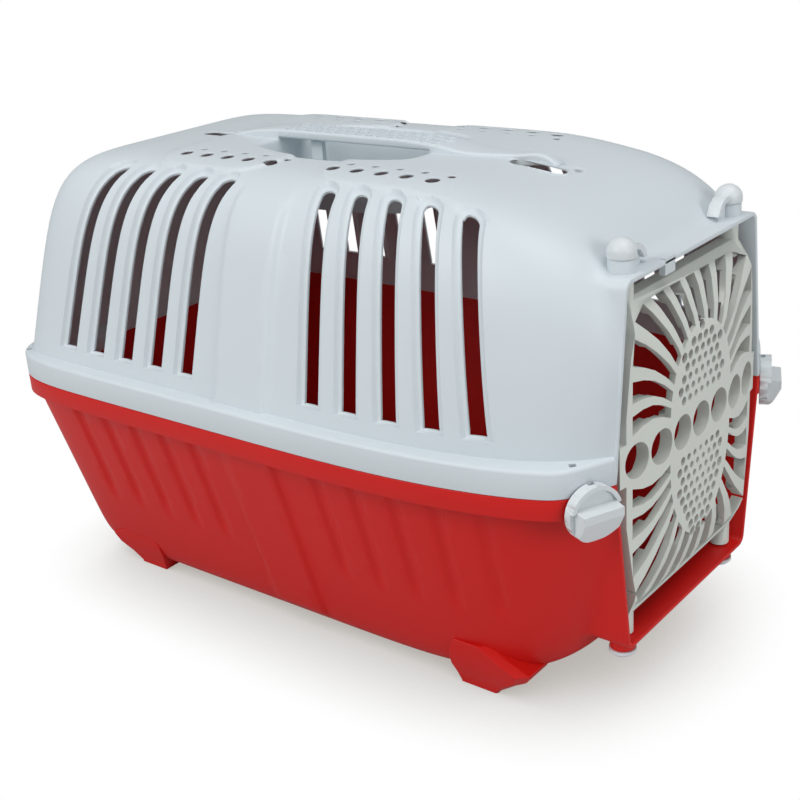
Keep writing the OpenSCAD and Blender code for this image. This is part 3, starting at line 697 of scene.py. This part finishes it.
wellValues = {
    "middle": midX + 3,
    "length": 132.0,
    "half": 50.0,
    "endHalf": 34.0,
    "depth": 30.0,
    "soft": 3.0,
    "corner": 22.0,  # power that rounds the corners between ends and sides
}
wv = wellValues
archY = sv["topY"] + sv["half"]

slots = []
for way in (-1, 1):
    for k in range(5):
        off = sv["start"] + k * sv["pitch"]
        slots.append((sv["middle"] + way * off, -way * (sv["lean"][0] + sv["lean"][1] * off)))


def slotShift(lean, v):
    form = hoodForm
    return lean * (form["half"]((sv["bottom"] - form["base"]) / form["rise"]) - form["half"](v))


def slotDistance(p):
    best = np.full(len(p), 99.0)
    near = np.where((p[:, 2] > 180) & (abs(p[:, 1]) > 80))[0]
    x, y, z = p[near].T
    for x0, lean in slots:
        dx = abs(x - x0 - slotShift(lean, np.clip((z - hoodForm["base"]) / hoodForm["rise"], 0, 1)))
        over, under = np.maximum(0, archY - abs(y)), np.maximum(0, sv["bottom"] - z)
        d = np.where(over > 0, np.hypot(dx, over), np.where(under > 0, 0, dx)) - sv["half"]
        low = np.maximum(dx - sv["half"], under / sv["ledge"])
        best[near] = np.minimum(best[near], np.where(under > 0, low, d))
    return best


def slotLine(x0, lean, side, grow):
    form, half, bottom = hoodForm, sv["half"] + grow, sv["bottom"] - grow * sv["ledge"]
    edges = []
    for way in (-1, 1):
        lo, hi = (bottom - form["base"]) / form["rise"], 0.9999
        start = lo
        for _ in range(46):
            v = (lo + hi) / 2
            x = x0 + slotShift(lean, v) + way * half
            lo, hi = (v, hi) if sideAt(form, x, v) > archY else (lo, v)
        vs = start + (lo - start) * np.linspace(0, 1, 34)
        xs = x0 + slotShift(lean, vs) + way * half
        edges.append(bySide(form, xs, vs, side))
    middle = x0 + slotShift(lean, lo)
    turn = np.linspace(math.pi, 0, 15)[1:-1]
    bend = lean * half * np.sin(turn)
    top = byRoof(form, middle + bend + half * np.cos(turn), side * (archY - half * np.sin(turn)))
    foot = edges[1][0] + (edges[0][0] - edges[1][0]) * np.array([[1 / 3], [2 / 3]])
    return np.concatenate([edges[0], top, edges[1][::-1], foot])


def roundedBox(x0, x1, half, r, grow):
    points = []
    corners = ((x1 - r, half - r), (x0 + r, half - r), (x0 + r, r - half), (x1 - r, r - half))
    for (cx, cy), begin in zip(corners, (0, 90, 180, 270)):
        points += arc(cx, cy, r + grow, begin, begin + 90, 9)
    filled = []
    for a, b in zip(points, points[1:] + points[:1]):
        pieces = max(1, int(math.dist(a, b) / 5))
        filled += [tuple(np.array(a) + (np.array(b) - a) * k / pieces) for k in range(pieces)]
    return np.array(filled)


def panelEdge(near, far, way, grow, side):
    r, half, clearOfWell = rv["panelRound"], rv["panelHalf"], wv["half"] + 4.6
    points = [(far + way * grow, y) for y in np.linspace(0, half - r, 14)[:-1]]
    for t in np.radians(np.linspace(0, 90, 9)):
        points.append((far + way * (-r + (r + grow) * math.cos(t)), half - r + (r + grow) * math.sin(t)))
    points += [(x, half + grow) for x in np.linspace(far - way * r, near + way * r, 18)[1:-1]]
    for t in np.radians(np.linspace(90, 180, 9)):
        points.append((near + way * (r + (r + grow) * math.cos(t)), half - r + (r + grow) * math.sin(t)))
    points += [(near - way * grow, y) for y in np.linspace(half - r, clearOfWell, 4)[1:]]
    return np.array(points) * [1, side]


def boxDistance(x, y, x0, x1, half, r):
    dx = np.maximum(x0 + r - x, x - x1 + r)
    dy = abs(y) - half + r
    return np.hypot(np.maximum(dx, 0), np.maximum(dy, 0)) + np.minimum(np.maximum(dx, dy), 0) - r


panels = [
    (rv["panelRear"], bv["middle"] - bv["half"]),
    (bv["middle"] + bv["half"], rv["panelFront"]),
]


def panelDistance(x, y):
    return np.minimum(*[boxDistance(x, y, x0, x1, rv["panelHalf"], rv["panelRound"]) for x0, x1 in panels])


def panelShare(x, y):
    return 1 - faded(panelDistance(x, y), (-1.6, 3.2))


def bandShare(x):
    return 1 - smooth((abs(x - bv["middle"]) - bv["half"] + bv["edge"]) / (2 * bv["edge"]))


def bandLines(form, side, way, top):
    v = np.linspace(0, top, 34)
    return [bySide(form, np.full(34, bv["middle"] + way * (bv["half"] + e)), v, side) for e in bv["steps"]]


def hoodDepth(p):
    x, y, z = p.T
    share = np.clip((slotDistance(p) - sv["lip"]) / (sv["border"] - sv["lip"]), 0, 1)
    recess = sv["recess"] * (1 - share ** sv["curve"])
    band = bv["proud"] * bandShare(x) * (1 - faded(z, bv["hoodFade"]))
    panel = rv["panelRise"] * panelShare(x, y) * (z > roofFoot)
    panel *= 1 - faded(x, rv["panelFade"])
    return recess - band - panel


def ventRow(way, shift):
    return [sv["middle"] + way * (rv["ventStart"] + k * rv["ventPitch"]) + shift for k in range(5)]


def ventDistance(x, y):
    best = np.full(len(x), 99.0)
    for out, r, shift in rv["ventRows"]:
        for vx in ventRow(-1, shift) + ventRow(1, shift):
            best = np.minimum(best, np.hypot(x - vx, abs(y) - out) - r)
    return best


def holeDistance(x, y):
    best = ventDistance(x, y)
    for sx, sy, r in rv["strapSlots"]:
        best = np.minimum(best, np.hypot(np.maximum(0, abs(x - sx) - rv["strapHalf"]), y - sy) - r)
    return best


def hoodInnerDepth(p):
    x, y, z = p.T
    depth = wall + (sv["returnDepth"] - wall) * (1 - faded(slotDistance(p), sv["returnFrom"]))
    panel = rv["panelRise"] * panelShare(x, y)
    thin = (1 - faded(holeDistance(x, y), rv["thinFrom"])) * (z > roofFoot)
    return depth - thin * (wall - rv["thinWall"] + panel)


def wellPoint(turn, grow):
    rise = wv["half"] - wv["endHalf"]
    bow = ((wv["length"] / 2) ** 2 + rise**2) / (2 * rise)
    c, s = np.cos(turn), np.sin(turn)
    drop = bow - wv["half"]
    box = wv["length"] / 2 / np.maximum(1e-9, abs(c))
    bowArc = -abs(s) * drop + np.sqrt(bow**2 - drop**2 * c**2)
    r = (box ** -wv["corner"] + bowArc ** -wv["corner"]) ** (-1 / wv["corner"])
    x, y = wv["middle"] + r * c, r * s
    tx, ty = np.gradient(x), np.gradient(y)
    size = np.hypot(tx, ty)
    nx, ny = ty / size, -tx / size
    return np.stack([x + grow * nx, y + grow * ny], -1), np.stack([nx, ny], -1)


def makeHood():
    form = hoodForm
    measure(form)
    lines, holes, names = [], [], []

    def add(line, closed, kind, hole=None):
        lines.append((line, closed))
        names.append(kind)
        if hole is not None:
            holes.append(hole)

    for side in (-1, 1):
        for x0, lean in slots:
            for grow in sv["steps"]:
                line = slotLine(x0, lean, side, grow)
                add(line, True, "slot", line if grow == sv["lip"] else None)
        for way in (-1, 1):
            for line in bandLines(form, side, way, bv["hoodTop"]):
                add(line, False, "plain")
            for y, r, shift in rv["ventRows"]:
                for x in ventRow(way, shift):
                    for grow in rv["ventSteps"]:
                        line = roofCircle(form, x, side * y, r + grow, 20)
                        add(line, True, "vent", line if grow == rv["ventSteps"][0] else None)
    for (x0, x1), way in zip(panels, (-1, 1)):
        for e in rv["panelSteps"]:
            near, far = (x1, x0) if way < 0 else (x0, x1)
            left, right = (byRoof(form, *panelEdge(near, far, way, e, side).T) for side in (-1, 1))
            if way < 0:
                left[0, 0], right[0, 0] = 0, form["along"][-1]
                right[0, 1] = left[0, 1]
                add(left, False, "plain")
                add(right, False, "plain")
            else:
                add(np.concatenate([left[::-1], right[1:]]), False, "plain")
    for x, y, r in rv["strapSlots"]:
        for grow in rv["strapSteps"]:
            box = roundedBox(x - rv["strapHalf"] - r, x + rv["strapHalf"] + r, r, r, grow) + [0, y]
            line = byRoof(form, *box.T)
            add(line, True, "vent", line if grow == rv["strapSteps"][0] else None)
    ex, ey, er = rv["eyelet"]
    eyelet = roofCircle(form, ex, ey, er + rv["ventSteps"][0], 16)
    add(eyelet, True, "vent", eyelet)

    frameEdge = frameLine(jointZ, fv["topZ"], fv["topHalf"])
    doorway, doorHole = doorwayLine(form, frameEdge)
    add(doorway, False, "door", doorHole)
    turn = np.linspace(-math.pi, math.pi, 141)
    edge, outward = wellPoint(turn, wv["soft"])
    well = byRoof(form, edge[:, 0], edge[:, 1])
    length, crown = form["along"][-1], form["q"][-1]
    well[0, 0], well[-1, 0] = 0, length
    well[-1, 1] = well[0, 1]
    add(well, False, "well", np.concatenate([well, [[length, crown + 9], [0, crown + 9]]]))

    def clear(grid):
        p = surfaceAt(form, grid)
        x, y, z = p.T
        keep = slotDistance(p) > sv["border"] + sv["clear"]
        bandGap = abs(abs(x - bv["middle"]) - bv["half"])
        atFoot = z < jointZ + 1e-6
        keep &= (bandGap > bv["clear"]) | (z > jointZ + bv["gridTop"] * form["rise"]) | atFoot
        onRoof = (abs(panelDistance(x, y)) > rv["panelClear"]) & (ventDistance(x, y) > rv["ventClear"])
        keep &= onRoof | (z < roofFoot)
        return keep & clearOf(grid, doorway, length) & clearOf(grid, well, length)

    sheet = cutSheet(form, lines, holes, clear)
    floorZ = roofZ - wv["depth"]
    centre = (wv["middle"], 0.0)

    def lips(kind, order, outer, inner, n, push):
        name = names[kind] if kind >= 0 else "plain"
        if name == "plain" and outer[2] > roofZ - 30:
            nearWell = np.min(np.hypot(*(edge - outer[:2]).T)) < 2
            name = "well" if nearWell else "vent"
        if name == "slot":
            return smallLip(sv["lip"], outer, inner, n, push)
        if name == "vent":
            return smallLip(rv["holeLip"], outer, inner, n, push)
        if name == "door":
            return doorwayLip(form, frameEdge, order, outer, inner)
        if name == "well":
            here = np.argmin(np.hypot(*(edge - outer[:2]).T))
            m = np.array([*outward[here], 0])
            at = np.array([*(outer[:2] - m[:2] * wv["soft"]), 0])
            top = outer[2]
            ctrl, stop = at + [0, 0, top], at + [0, 0, top - wv["soft"]]
            down = [at + [0, 0, floorZ + 3], at - m * 0.9 + [0, 0, floorZ + 0.9], at - m * 3 + [0, 0, floorZ]]
            out = [at + m * wall + [0, 0, z] for z in (inner[2] - 3, floorZ - wall)]
            return [
                bowed(outer, ctrl, stop) + down + [np.array([*centre, floorZ])],
                out + [np.array([*centre, floorZ - wall])],
            ]
        return straightLip(outer, inner)

    rides = ("hood", "top_shell", "shell_grey")
    return mouldedShell("hoodShell", form, sheet, lips, hoodDepth, hoodInnerDepth, *rides)


hood = makeHood()
print("hood moulded", len(hood.data.polygons))

# Tub

tubValues = {
    "fluteHalf": 5.4,
    "fluteDepth": 1.9,
    "footFade": (58.0, 26),
    "headFade": (158, 4),
    "fluteCurve": 1.2,
    "fluteClear": 7.0,
    "fluteSteps": (-5.6, -4.4, -3.1, -1.6, 0, 1.6, 3.1, 4.4, 5.6),
    "bandFade": (13.0, 8),
    "plainHalf": 60.0,  # half the floor's width that has neither flutes nor band
}
uv = tubValues
flutes = [sv["middle"] + way * (sv["start"] + k * sv["pitch"]) for way in (-1, 1) for k in range(5)]


def tubDepth(p):
    x, y, z = p.T
    depth = np.zeros(len(p))
    strength = faded(z, uv["footFade"]) * (1 - faded(z, uv["headFade"])) * (abs(y) > 90)
    for x0 in flutes:
        share = np.clip(abs(x - x0) / uv["fluteHalf"], 0, 1)
        depth = np.maximum(depth, uv["fluteDepth"] * (1 - share**2) ** uv["fluteCurve"])
    return depth * strength - bv["proud"] * bandShare(x) * faded(z, uv["bandFade"])


def makeTub():
    form, lines = tubForm, []
    measure(form)
    fluteZ = np.concatenate([np.linspace(54, 84, 11), np.linspace(88, 160, 13)])[::-1]
    fluteV = (fluteZ - form["base"]) / form["rise"]
    for side in (-1, 1):
        for x0 in flutes:
            for e in uv["fluteSteps"]:
                lines.append((bySide(form, np.full(len(fluteV), x0 + e), fluteV, side), False))
        for way in (-1, 1):
            lines += [(line, False) for line in bandLines(form, side, way, bv["tubTop"])]
    frameEdge = frameLine(form["base"], fv["footZ"], fv["footHalf"])
    doorway, doorHole = doorwayLine(form, frameEdge)
    lines.append((doorway, False))
    length = form["along"][-1]

    def clear(grid):
        x, y, z = surfaceAt(form, grid).T
        bandGap, under = abs(abs(x - bv["middle"]) - bv["half"]), abs(y) < uv["plainHalf"]
        keep = (bandGap > bv["clear"]) | (z > form["base"] - 1e-6) | (z < 11) | under
        for x0 in flutes:
            keep &= (abs(x - x0) > uv["fluteClear"]) | (z > 161) | (z < 52) | under
        return keep & clearOf(grid, doorway, length)

    sheet = cutSheet(form, lines, [doorHole], clear)

    def lips(kind, order, outer, inner, n, push):
        if kind == len(lines) - 1:
            return doorwayLip(form, frameEdge, order, outer, inner)
        return straightLip(outer, inner)

    def inward(p):
        return np.full(len(p), wall)

    return mouldedShell("tubShell", form, sheet, lips, tubDepth, inward, "tub", "base_tub", "tub_red")


tub = makeTub()
print("tub moulded", len(tub.data.polygons))

# Rims

rimValues = {
    "rear": 230.5,
    "front": 299.0,
    "powers": (9.0, 3.2),
    "blend": 70.0,  # power that rounds the turn from rim to wing
    "grid": (4.5, 6),
    "wingTurn": 24.0,
    "ends": 95.5,
    "thick": 3.0,
    "edge": 2.4,
    "hoodHeight": 17.0,
    "tubHeight": 13.0,
}
mv = rimValues


def rimPath():
    reach = frontX - midX
    first = math.atan2(mv["ends"], reach)
    t = np.linspace(first, 2 * math.pi - first, 24001)
    c, s = np.cos(t), np.sin(t)
    power = np.where(c > 0, mv["powers"][1], mv["powers"][0])
    length = np.where(c > 0, mv["front"], mv["rear"])
    full = (abs(c / length) ** power + abs(s / halfWidth) ** power) ** (-1 / power)
    a, b = math.radians(mv["wingTurn"]), mv["blend"]
    wing = reach * math.cos(a) + fv["midHalf"] * math.sin(a)
    wing = wing / np.maximum(1e-6, c * math.cos(a) + abs(s) * math.sin(a))
    r = np.where(c > 0.1, (full**-b + wing**-b) ** (-1 / b), full)
    r = np.where(c > 0.1, np.minimum(r, reach / np.maximum(0.1, c)), r)
    x, y = r * c, r * s
    along = np.concatenate([[0], np.cumsum(np.hypot(np.diff(x), np.diff(y)))])
    at = evenly(along, [(x, y)], *mv["grid"])
    px, py = np.interp(at, along, x), np.interp(at, along, y)
    step = 0.3
    ahead = np.stack([np.interp(at + step, along, k) - np.interp(at - step, along, k) for k in (x, y)], -1)
    ahead /= np.linalg.norm(ahead, axis=1, keepdims=True)
    return np.stack([px + midX, py], -1), np.stack([-ahead[:, 1], ahead[:, 0]], -1)


def makeRim(name, form, foot, top, topRound, footRound, body, node, slot):
    path, inward = rimPath()
    v = abs(top - form["base"]) / abs(form["rise"])
    rings = []
    for p, m in zip(path, inward):
        d = 2.0
        while d < 46:
            x, y = p + m * d
            n, reach = outlineAt(form, x > midX, v)
            if (abs(x - midX) / reach) ** n + (abs(y) / form["half"](v)) ** n < 1:
                break
            d += 0.25
        d = max(d + 1.0, mv["thick"] + 1.2)
        t = mv["thick"]
        section = [(0, foot + footRound), (0, top - topRound)]
        for q in np.radians([25, 50, 70]):
            section.append((topRound * (1 - math.cos(q)), top - topRound * (1 - math.sin(q))))
        section += [(topRound, top), (d, top), (d, top - t), (t + 1, top - t), (t, top - t - 1)]
        section += [(t, foot + 0.3), (t - 0.3, foot), (footRound, foot)]
        section.append((footRound * 0.3, foot + footRound * 0.3))
        rings.append([(p[0] + m[0] * a, p[1] + m[1] * a, z) for a, z in section])
    verts, faces = lofted(rings)
    return meshPiece(name, verts, faces, slot, body, node, sharp=42)


shelf, tubTop = jointZ + mv["hoodHeight"], tubForm["base"]
hoodRim = makeRim("hoodRim", hoodForm, jointZ, shelf, mv["edge"], 0.5, "hood", "top_shell", "shell_grey")
makeRim("tubRim", tubForm, tubTop - mv["tubHeight"], tubTop, 0.5, 0.6, "tub", "base_tub", "tub_red")
print("rims bent")

# Grip

wellRear, wellFront = wv["middle"] - wv["length"] / 2, wv["middle"] + wv["length"] / 2
gripValues = {
    "half": 13.0,
    "rise": 8.0,
    "thick": 6.0,
    "round": 2.0,
    "tailHalf": 3.6,
    "tailShift": 6.5,
    "dimple": 7.4,
    "dimpleDepth": 2.6,
    "dimpleRows": (-1, 0, 1),
    "dimpleCount": 15,
    "tailFade": (wellFront + 18, 60),
}
gv = gripValues
gripTop = roofZ + gv["rise"]
gripLine = (  # place along the carrier and height of the grip's top
    (wellRear - 66, roofZ - 2.6),
    (wellRear - 52, roofZ - 0.6),
    (wellRear - 40, roofZ + 2.8),
    (wellRear - 8, gripTop - 0.6),
    (wellRear + 10, gripTop),
    (wellFront - 24, gripTop),
    (wellFront + 4, gripTop - 1.6),
    (wellFront + 30, roofZ + 3),
    (wellFront + 54, roofZ + 1.8),
    (wellFront + 78, roofZ + 0.6),
    (wellFront + 86, roofZ - 4.0),
)


def roundedRing(x, yMiddle, half, low, high, r):
    r = min(r, half * 0.9, (high - low) * 0.48)
    ring = []
    corners = ((half - r, high - r), (r - half, high - r), (r - half, low + r), (half - r, low + r))
    for (cy, cz), begin in zip(corners, (0, 90, 180, 270)):
        ring += [(x, y, z) for y, z in arc(yMiddle + cy, cz, r, begin, begin + 90, 6)]
    return ring


def cutAway(piece, solids, sharp=35):
    tool = bpy.data.meshes.new("cutter")
    verts, faces = joined(*solids)
    tool.from_pydata([tuple(p) for p in verts * mm], [], faces)
    cleaned(tool, 0, 0)
    cutter = placed("cutter", tool)
    cut = piece.modifiers.new("cut", "BOOLEAN")
    cut.operation, cut.solver, cut.object = "DIFFERENCE", "EXACT", cutter
    done = bpy.data.meshes.new_from_object(piece.evaluated_get(bpy.context.evaluated_depsgraph_get()))
    piece.modifiers.clear()
    piece.data = done
    bpy.data.objects.remove(cutter)
    shaded(done, sharp)
    return piece


def makeGrip():
    tx, tz = np.array(gripLine).T
    spans = ((tx[0], wellRear - 0.2, 34), (wellRear, wellFront, 60), (wellFront + 0.2, tx[-1], 50))
    xs = np.concatenate([np.linspace(*span) for span in spans])
    slope = np.gradient(tz, tx)
    for end, a, b in ((0, 0, 1), (-1, -2, -1)):
        slope[end] = (tz[b] - tz[a]) / (tx[b] - tx[a])
    rings = []
    for x in xs:
        k = min(len(tx) - 2, max(0, int(np.searchsorted(tx, x) - 1)))
        w = tx[k + 1] - tx[k]
        s = (x - tx[k]) / w
        high = (1 + 2 * s) * (1 - s) ** 2 * tz[k] + s * (1 - s) ** 2 * w * slope[k]
        high += s * s * (3 - 2 * s) * tz[k + 1] + s * s * (s - 1) * w * slope[k + 1]
        high = min(high, gripTop)
        overWell = wellRear <= x <= wellFront
        tail = float(faded(x, gv["tailFade"]))
        low = gripTop - gv["thick"] if overWell else roofZ - 12 + 7 * tail
        half = gv["half"] + (gv["tailHalf"] - gv["half"]) * tail
        rings.append(roundedRing(x, gv["tailShift"] * tail, half, low, max(high, low + 2), gv["round"]))
    grip = meshPiece("gripBar", *lofted(rings), "shell_grey", "hood", "top_shell", sharp=50)
    cones, step = [], gv["dimple"] + 1.6
    for i in range(gv["dimpleCount"]):
        for j in gv["dimpleRows"]:
            x = wellRear + 8 + step * (i + (0.5 if j == 0 else 0))
            profile = [(gv["dimple"] * 0.47, -gv["dimpleDepth"]), (gv["dimple"] * 0.59, 1.0)]
            cones.append(turned(profile, (x, j * step * 0.87, gripTop), steps=6))
    return cutAway(grip, cones)


makeGrip()
print("grip dimpled")

# Small parts of the hood

fittingValues = {
    "pinX": frontX - 12,
    "pinY": 67.0,
    "head": 17.0,
    "seat": 8.0,
    "fin": 9.0,
    "hookY": 70.0,
    "hookHalf": 12.0,
    "hookRadius": 13.0,
    "discIn": 17.5,
    "discDrop": 10.0,
}
xv = fittingValues


def extruded(points, start, end, axis):
    return lofted([[(h, u, w) if axis == "x" else (u, h, w) for u, w in points] for h in (start, end)])


def upright(a, b, foot, top):
    return [(a, foot), (b, foot), (b, top), (a, top)]


def closureAt(side, inset, down):
    a = math.radians(mv["wingTurn"])
    x = frontX - xv["discIn"] * math.sin(a) + inset * math.cos(a)
    y = side * (fv["midHalf"] + xv["discIn"] * math.cos(a)) + side * inset * math.sin(a)
    return (x, y, jointZ - xv["discDrop"] + down), (math.cos(a), side * math.sin(a), 0)


def hoodFittings():
    solids, top = [], fv["topZ"]
    for side in (-1, 1):
        r = xv["head"] / 2 - 0.5
        profile = [(r, -1.5), (r, xv["seat"] - 0.8), (r - 0.25, xv["seat"] - 0.25), (r - 0.8, xv["seat"])]
        solids.append(turned(profile, (xv["pinX"], side * xv["pinY"], top), steps=44))
        y0 = side * (xv["pinY"] - xv["head"] / 2)
        quarter = [(y0, top - 1.5), (y0 - side * xv["fin"], top - 1.5)]
        for t in np.radians(np.linspace(0, 90, 12)):
            quarter.append((y0 - side * xv["fin"] * math.cos(t), top + xv["fin"] * math.sin(t)))
        solids.append(extruded(quarter, xv["pinX"] - 1, xv["pinX"] + 2, "x"))
        y = side * xv["hookY"]
        ring = arc(rearX, jointZ, xv["hookRadius"] + 3, -24, 44)
        ring += arc(rearX, jointZ, xv["hookRadius"], 44, -24)
        solids.append(extruded(ring, y - xv["hookHalf"], y + xv["hookHalf"], "y"))
        place, axis = closureAt(side, -3, 13)
        solids.append(turned([(2, 0), (2, 5.1), (1.7, 5.5)], place, axis, 20))
    web = upright(wellRear + 20, wellRear + 30, roofZ - 30.5, gripTop - 3)
    solids.append(extruded(web, -2.0, 2.0, "y"))
    solids.append(extruded(upright(-39, -27, top - 9, top + 1), frontX - 4, frontX, "x"))
    return soften(meshPiece("hoodFittings", *joined(*solids), "shell_grey", "hood", "top_shell"), 0.5)


def tubFittings():
    solids = []
    for side in (-1, 1):
        place, axis = closureAt(side, -20, 0)
        solids.append(turned([(7.5, 0), (7.5, 19.6), (7.2, 20)], place, axis, 36))
        r, foot = xv["head"] / 2 - 0.5, fv["footZ"] - xv["seat"] + 1
        profile = [(r - 0.8, foot), (r - 0.25, foot + 0.25), (r, foot + 0.8), (r, foot + xv["seat"] + 1.5)]
        solids.append(turned(profile, (xv["pinX"], side * xv["pinY"], 0), steps=44))
        y = side * xv["hookY"]
        lower = arc(rearX, jointZ - 0.4, xv["hookRadius"] - 0.4, 0, -46, 8)
        lower = [(rearX + 9, jointZ - 0.4)] + lower + [(rearX + 9, jointZ - 13)]
        solids.append(extruded(lower, y - xv["hookHalf"] - 2, y + xv["hookHalf"] + 2, "y"))
    return soften(meshPiece("tubFittings", *joined(*solids), "tub_red", "tub", "base_tub"), 0.4)


footValues = (  # height, rear and front end, inner and outer side
    (0, -14, 14, 81, 103),
    (1.5, -14, 14, 81, 103),
    (9, -16, 26, 79.5, 105.4),
    (16, -18, 36, 78, 108.2),
    (23, -18, 40, 78, 110.2),
    (30, -16, 26, 80, 111.6),
    (38, -12, 12, 84, 112.4),
)


footCuts = (1.5, 6.0)  # corner cut of the pad and of the foot above it
footPlaces = ((153.0, 1), (-156.0, -1))  # distance from the middle, and which way the long end points


def feet():
    solids = []
    for side in (-1, 1):
        for dx, way in footPlaces:
            rings = []
            for z, x0, x1, near, far in footValues:
                cut = footCuts[0] if z < 5 else footCuts[1]
                corners = [(x0, near), (x1, near), (x1, far - cut), (x1 - cut, far), (x0, far)]
                rings.append([(midX + dx + way * x, side * y, z) for x, y in corners])
            solids.append(lofted(rings))
    return soften(meshPiece("feet", *joined(*solids), "tub_red", "tub", "base_tub"), 1.2, 3, 25)


holes = []
for side in (-1, 1):
    holes.append(turned([(2, -4), (2, 1)], (rearX + 17, side * (halfWidth - 16), shelf), steps=20))
    (wingX, wingY, _), _ = closureAt(side, 0, 0)
    holes.append(turned([(2.9, -4), (2.9, 1)], (wingX - 8, wingY + side * 4, shelf), steps=4))
cutAway(hoodRim, holes, 42)
hoodFittings()
tubFittings()
feet()
print("fittings added")

# Door: the CAD grille, hollowed behind its ribs and small holes

doorValues = {
    "face": frontX + 5,
    "bulge": 12.0,
    "height": 101.0,
    "bend": ((0.614, 0.733, 0.871, 1), (0, 0.15, 0.5, 1)),  # share of the height, share of the bulge
    "sweep": ((41.8, 65.9, 89.0), (0, 2.75, 6.3)),  # distance from the middle, set back
    "hollows": (  # foot, top, half width, plate left standing
        (189.0, 252.0, 60.0, 4.2),
        (76.0, 155.0, 60.0, 4.2),
        (190.0, 236.0, 33.0, 2.4),
        (98.0, 155.0, 33.0, 2.4),
    ),
}


def doorFace(y, z):
    d = doorValues
    upward = np.interp(abs(z - jointZ) / d["height"], *d["bend"]) * d["bulge"]
    sideways = np.interp(abs(y), *d["sweep"])
    return d["face"] - max(upward, sideways)


def makeDoor():
    source = frame["nodes"]["door"]
    mesh = source.data.copy()
    mesh.transform(source.matrix_world)
    cleaned(mesh, 1e-6, 0)
    door = placed("doorGrille", mesh)
    for z0, z1, half, left in doorValues["hollows"]:
        rings = []
        for z in np.linspace(z0, z1, 9):
            ring = [(doorFace(y, z) - left, y, z) for y in np.linspace(-half, half, 13)]
            back = doorFace(half, z0) - 24
            rings.append(ring + [(back, half, z), (back, -half, z)])
        cutAway(door, [lofted(rings)], 32)
    door.data.materials.clear()
    door.data.materials.append(plastics["door_cream"])
    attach(door, "door")
    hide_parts("door")
    flatten(door)
    soften(door, 0.5, 2, 30)


makeDoor()
print("door hollowed")

# Pins and closures: fine edges on the CAD bodies

pinEdge, closureEdge = 0.35, 0.6
for name, obj in frame["nodes"].items():
    if name in ("top_shell", "base_tub", "door"):
        continue
    weld = obj.modifiers.new("weld", "WELD")
    weld.merge_threshold = 1e-6
    flatten(obj)
    soften(obj, closureEdge if "closure" in name else pinEdge, 2, 30)
print("edges softened")
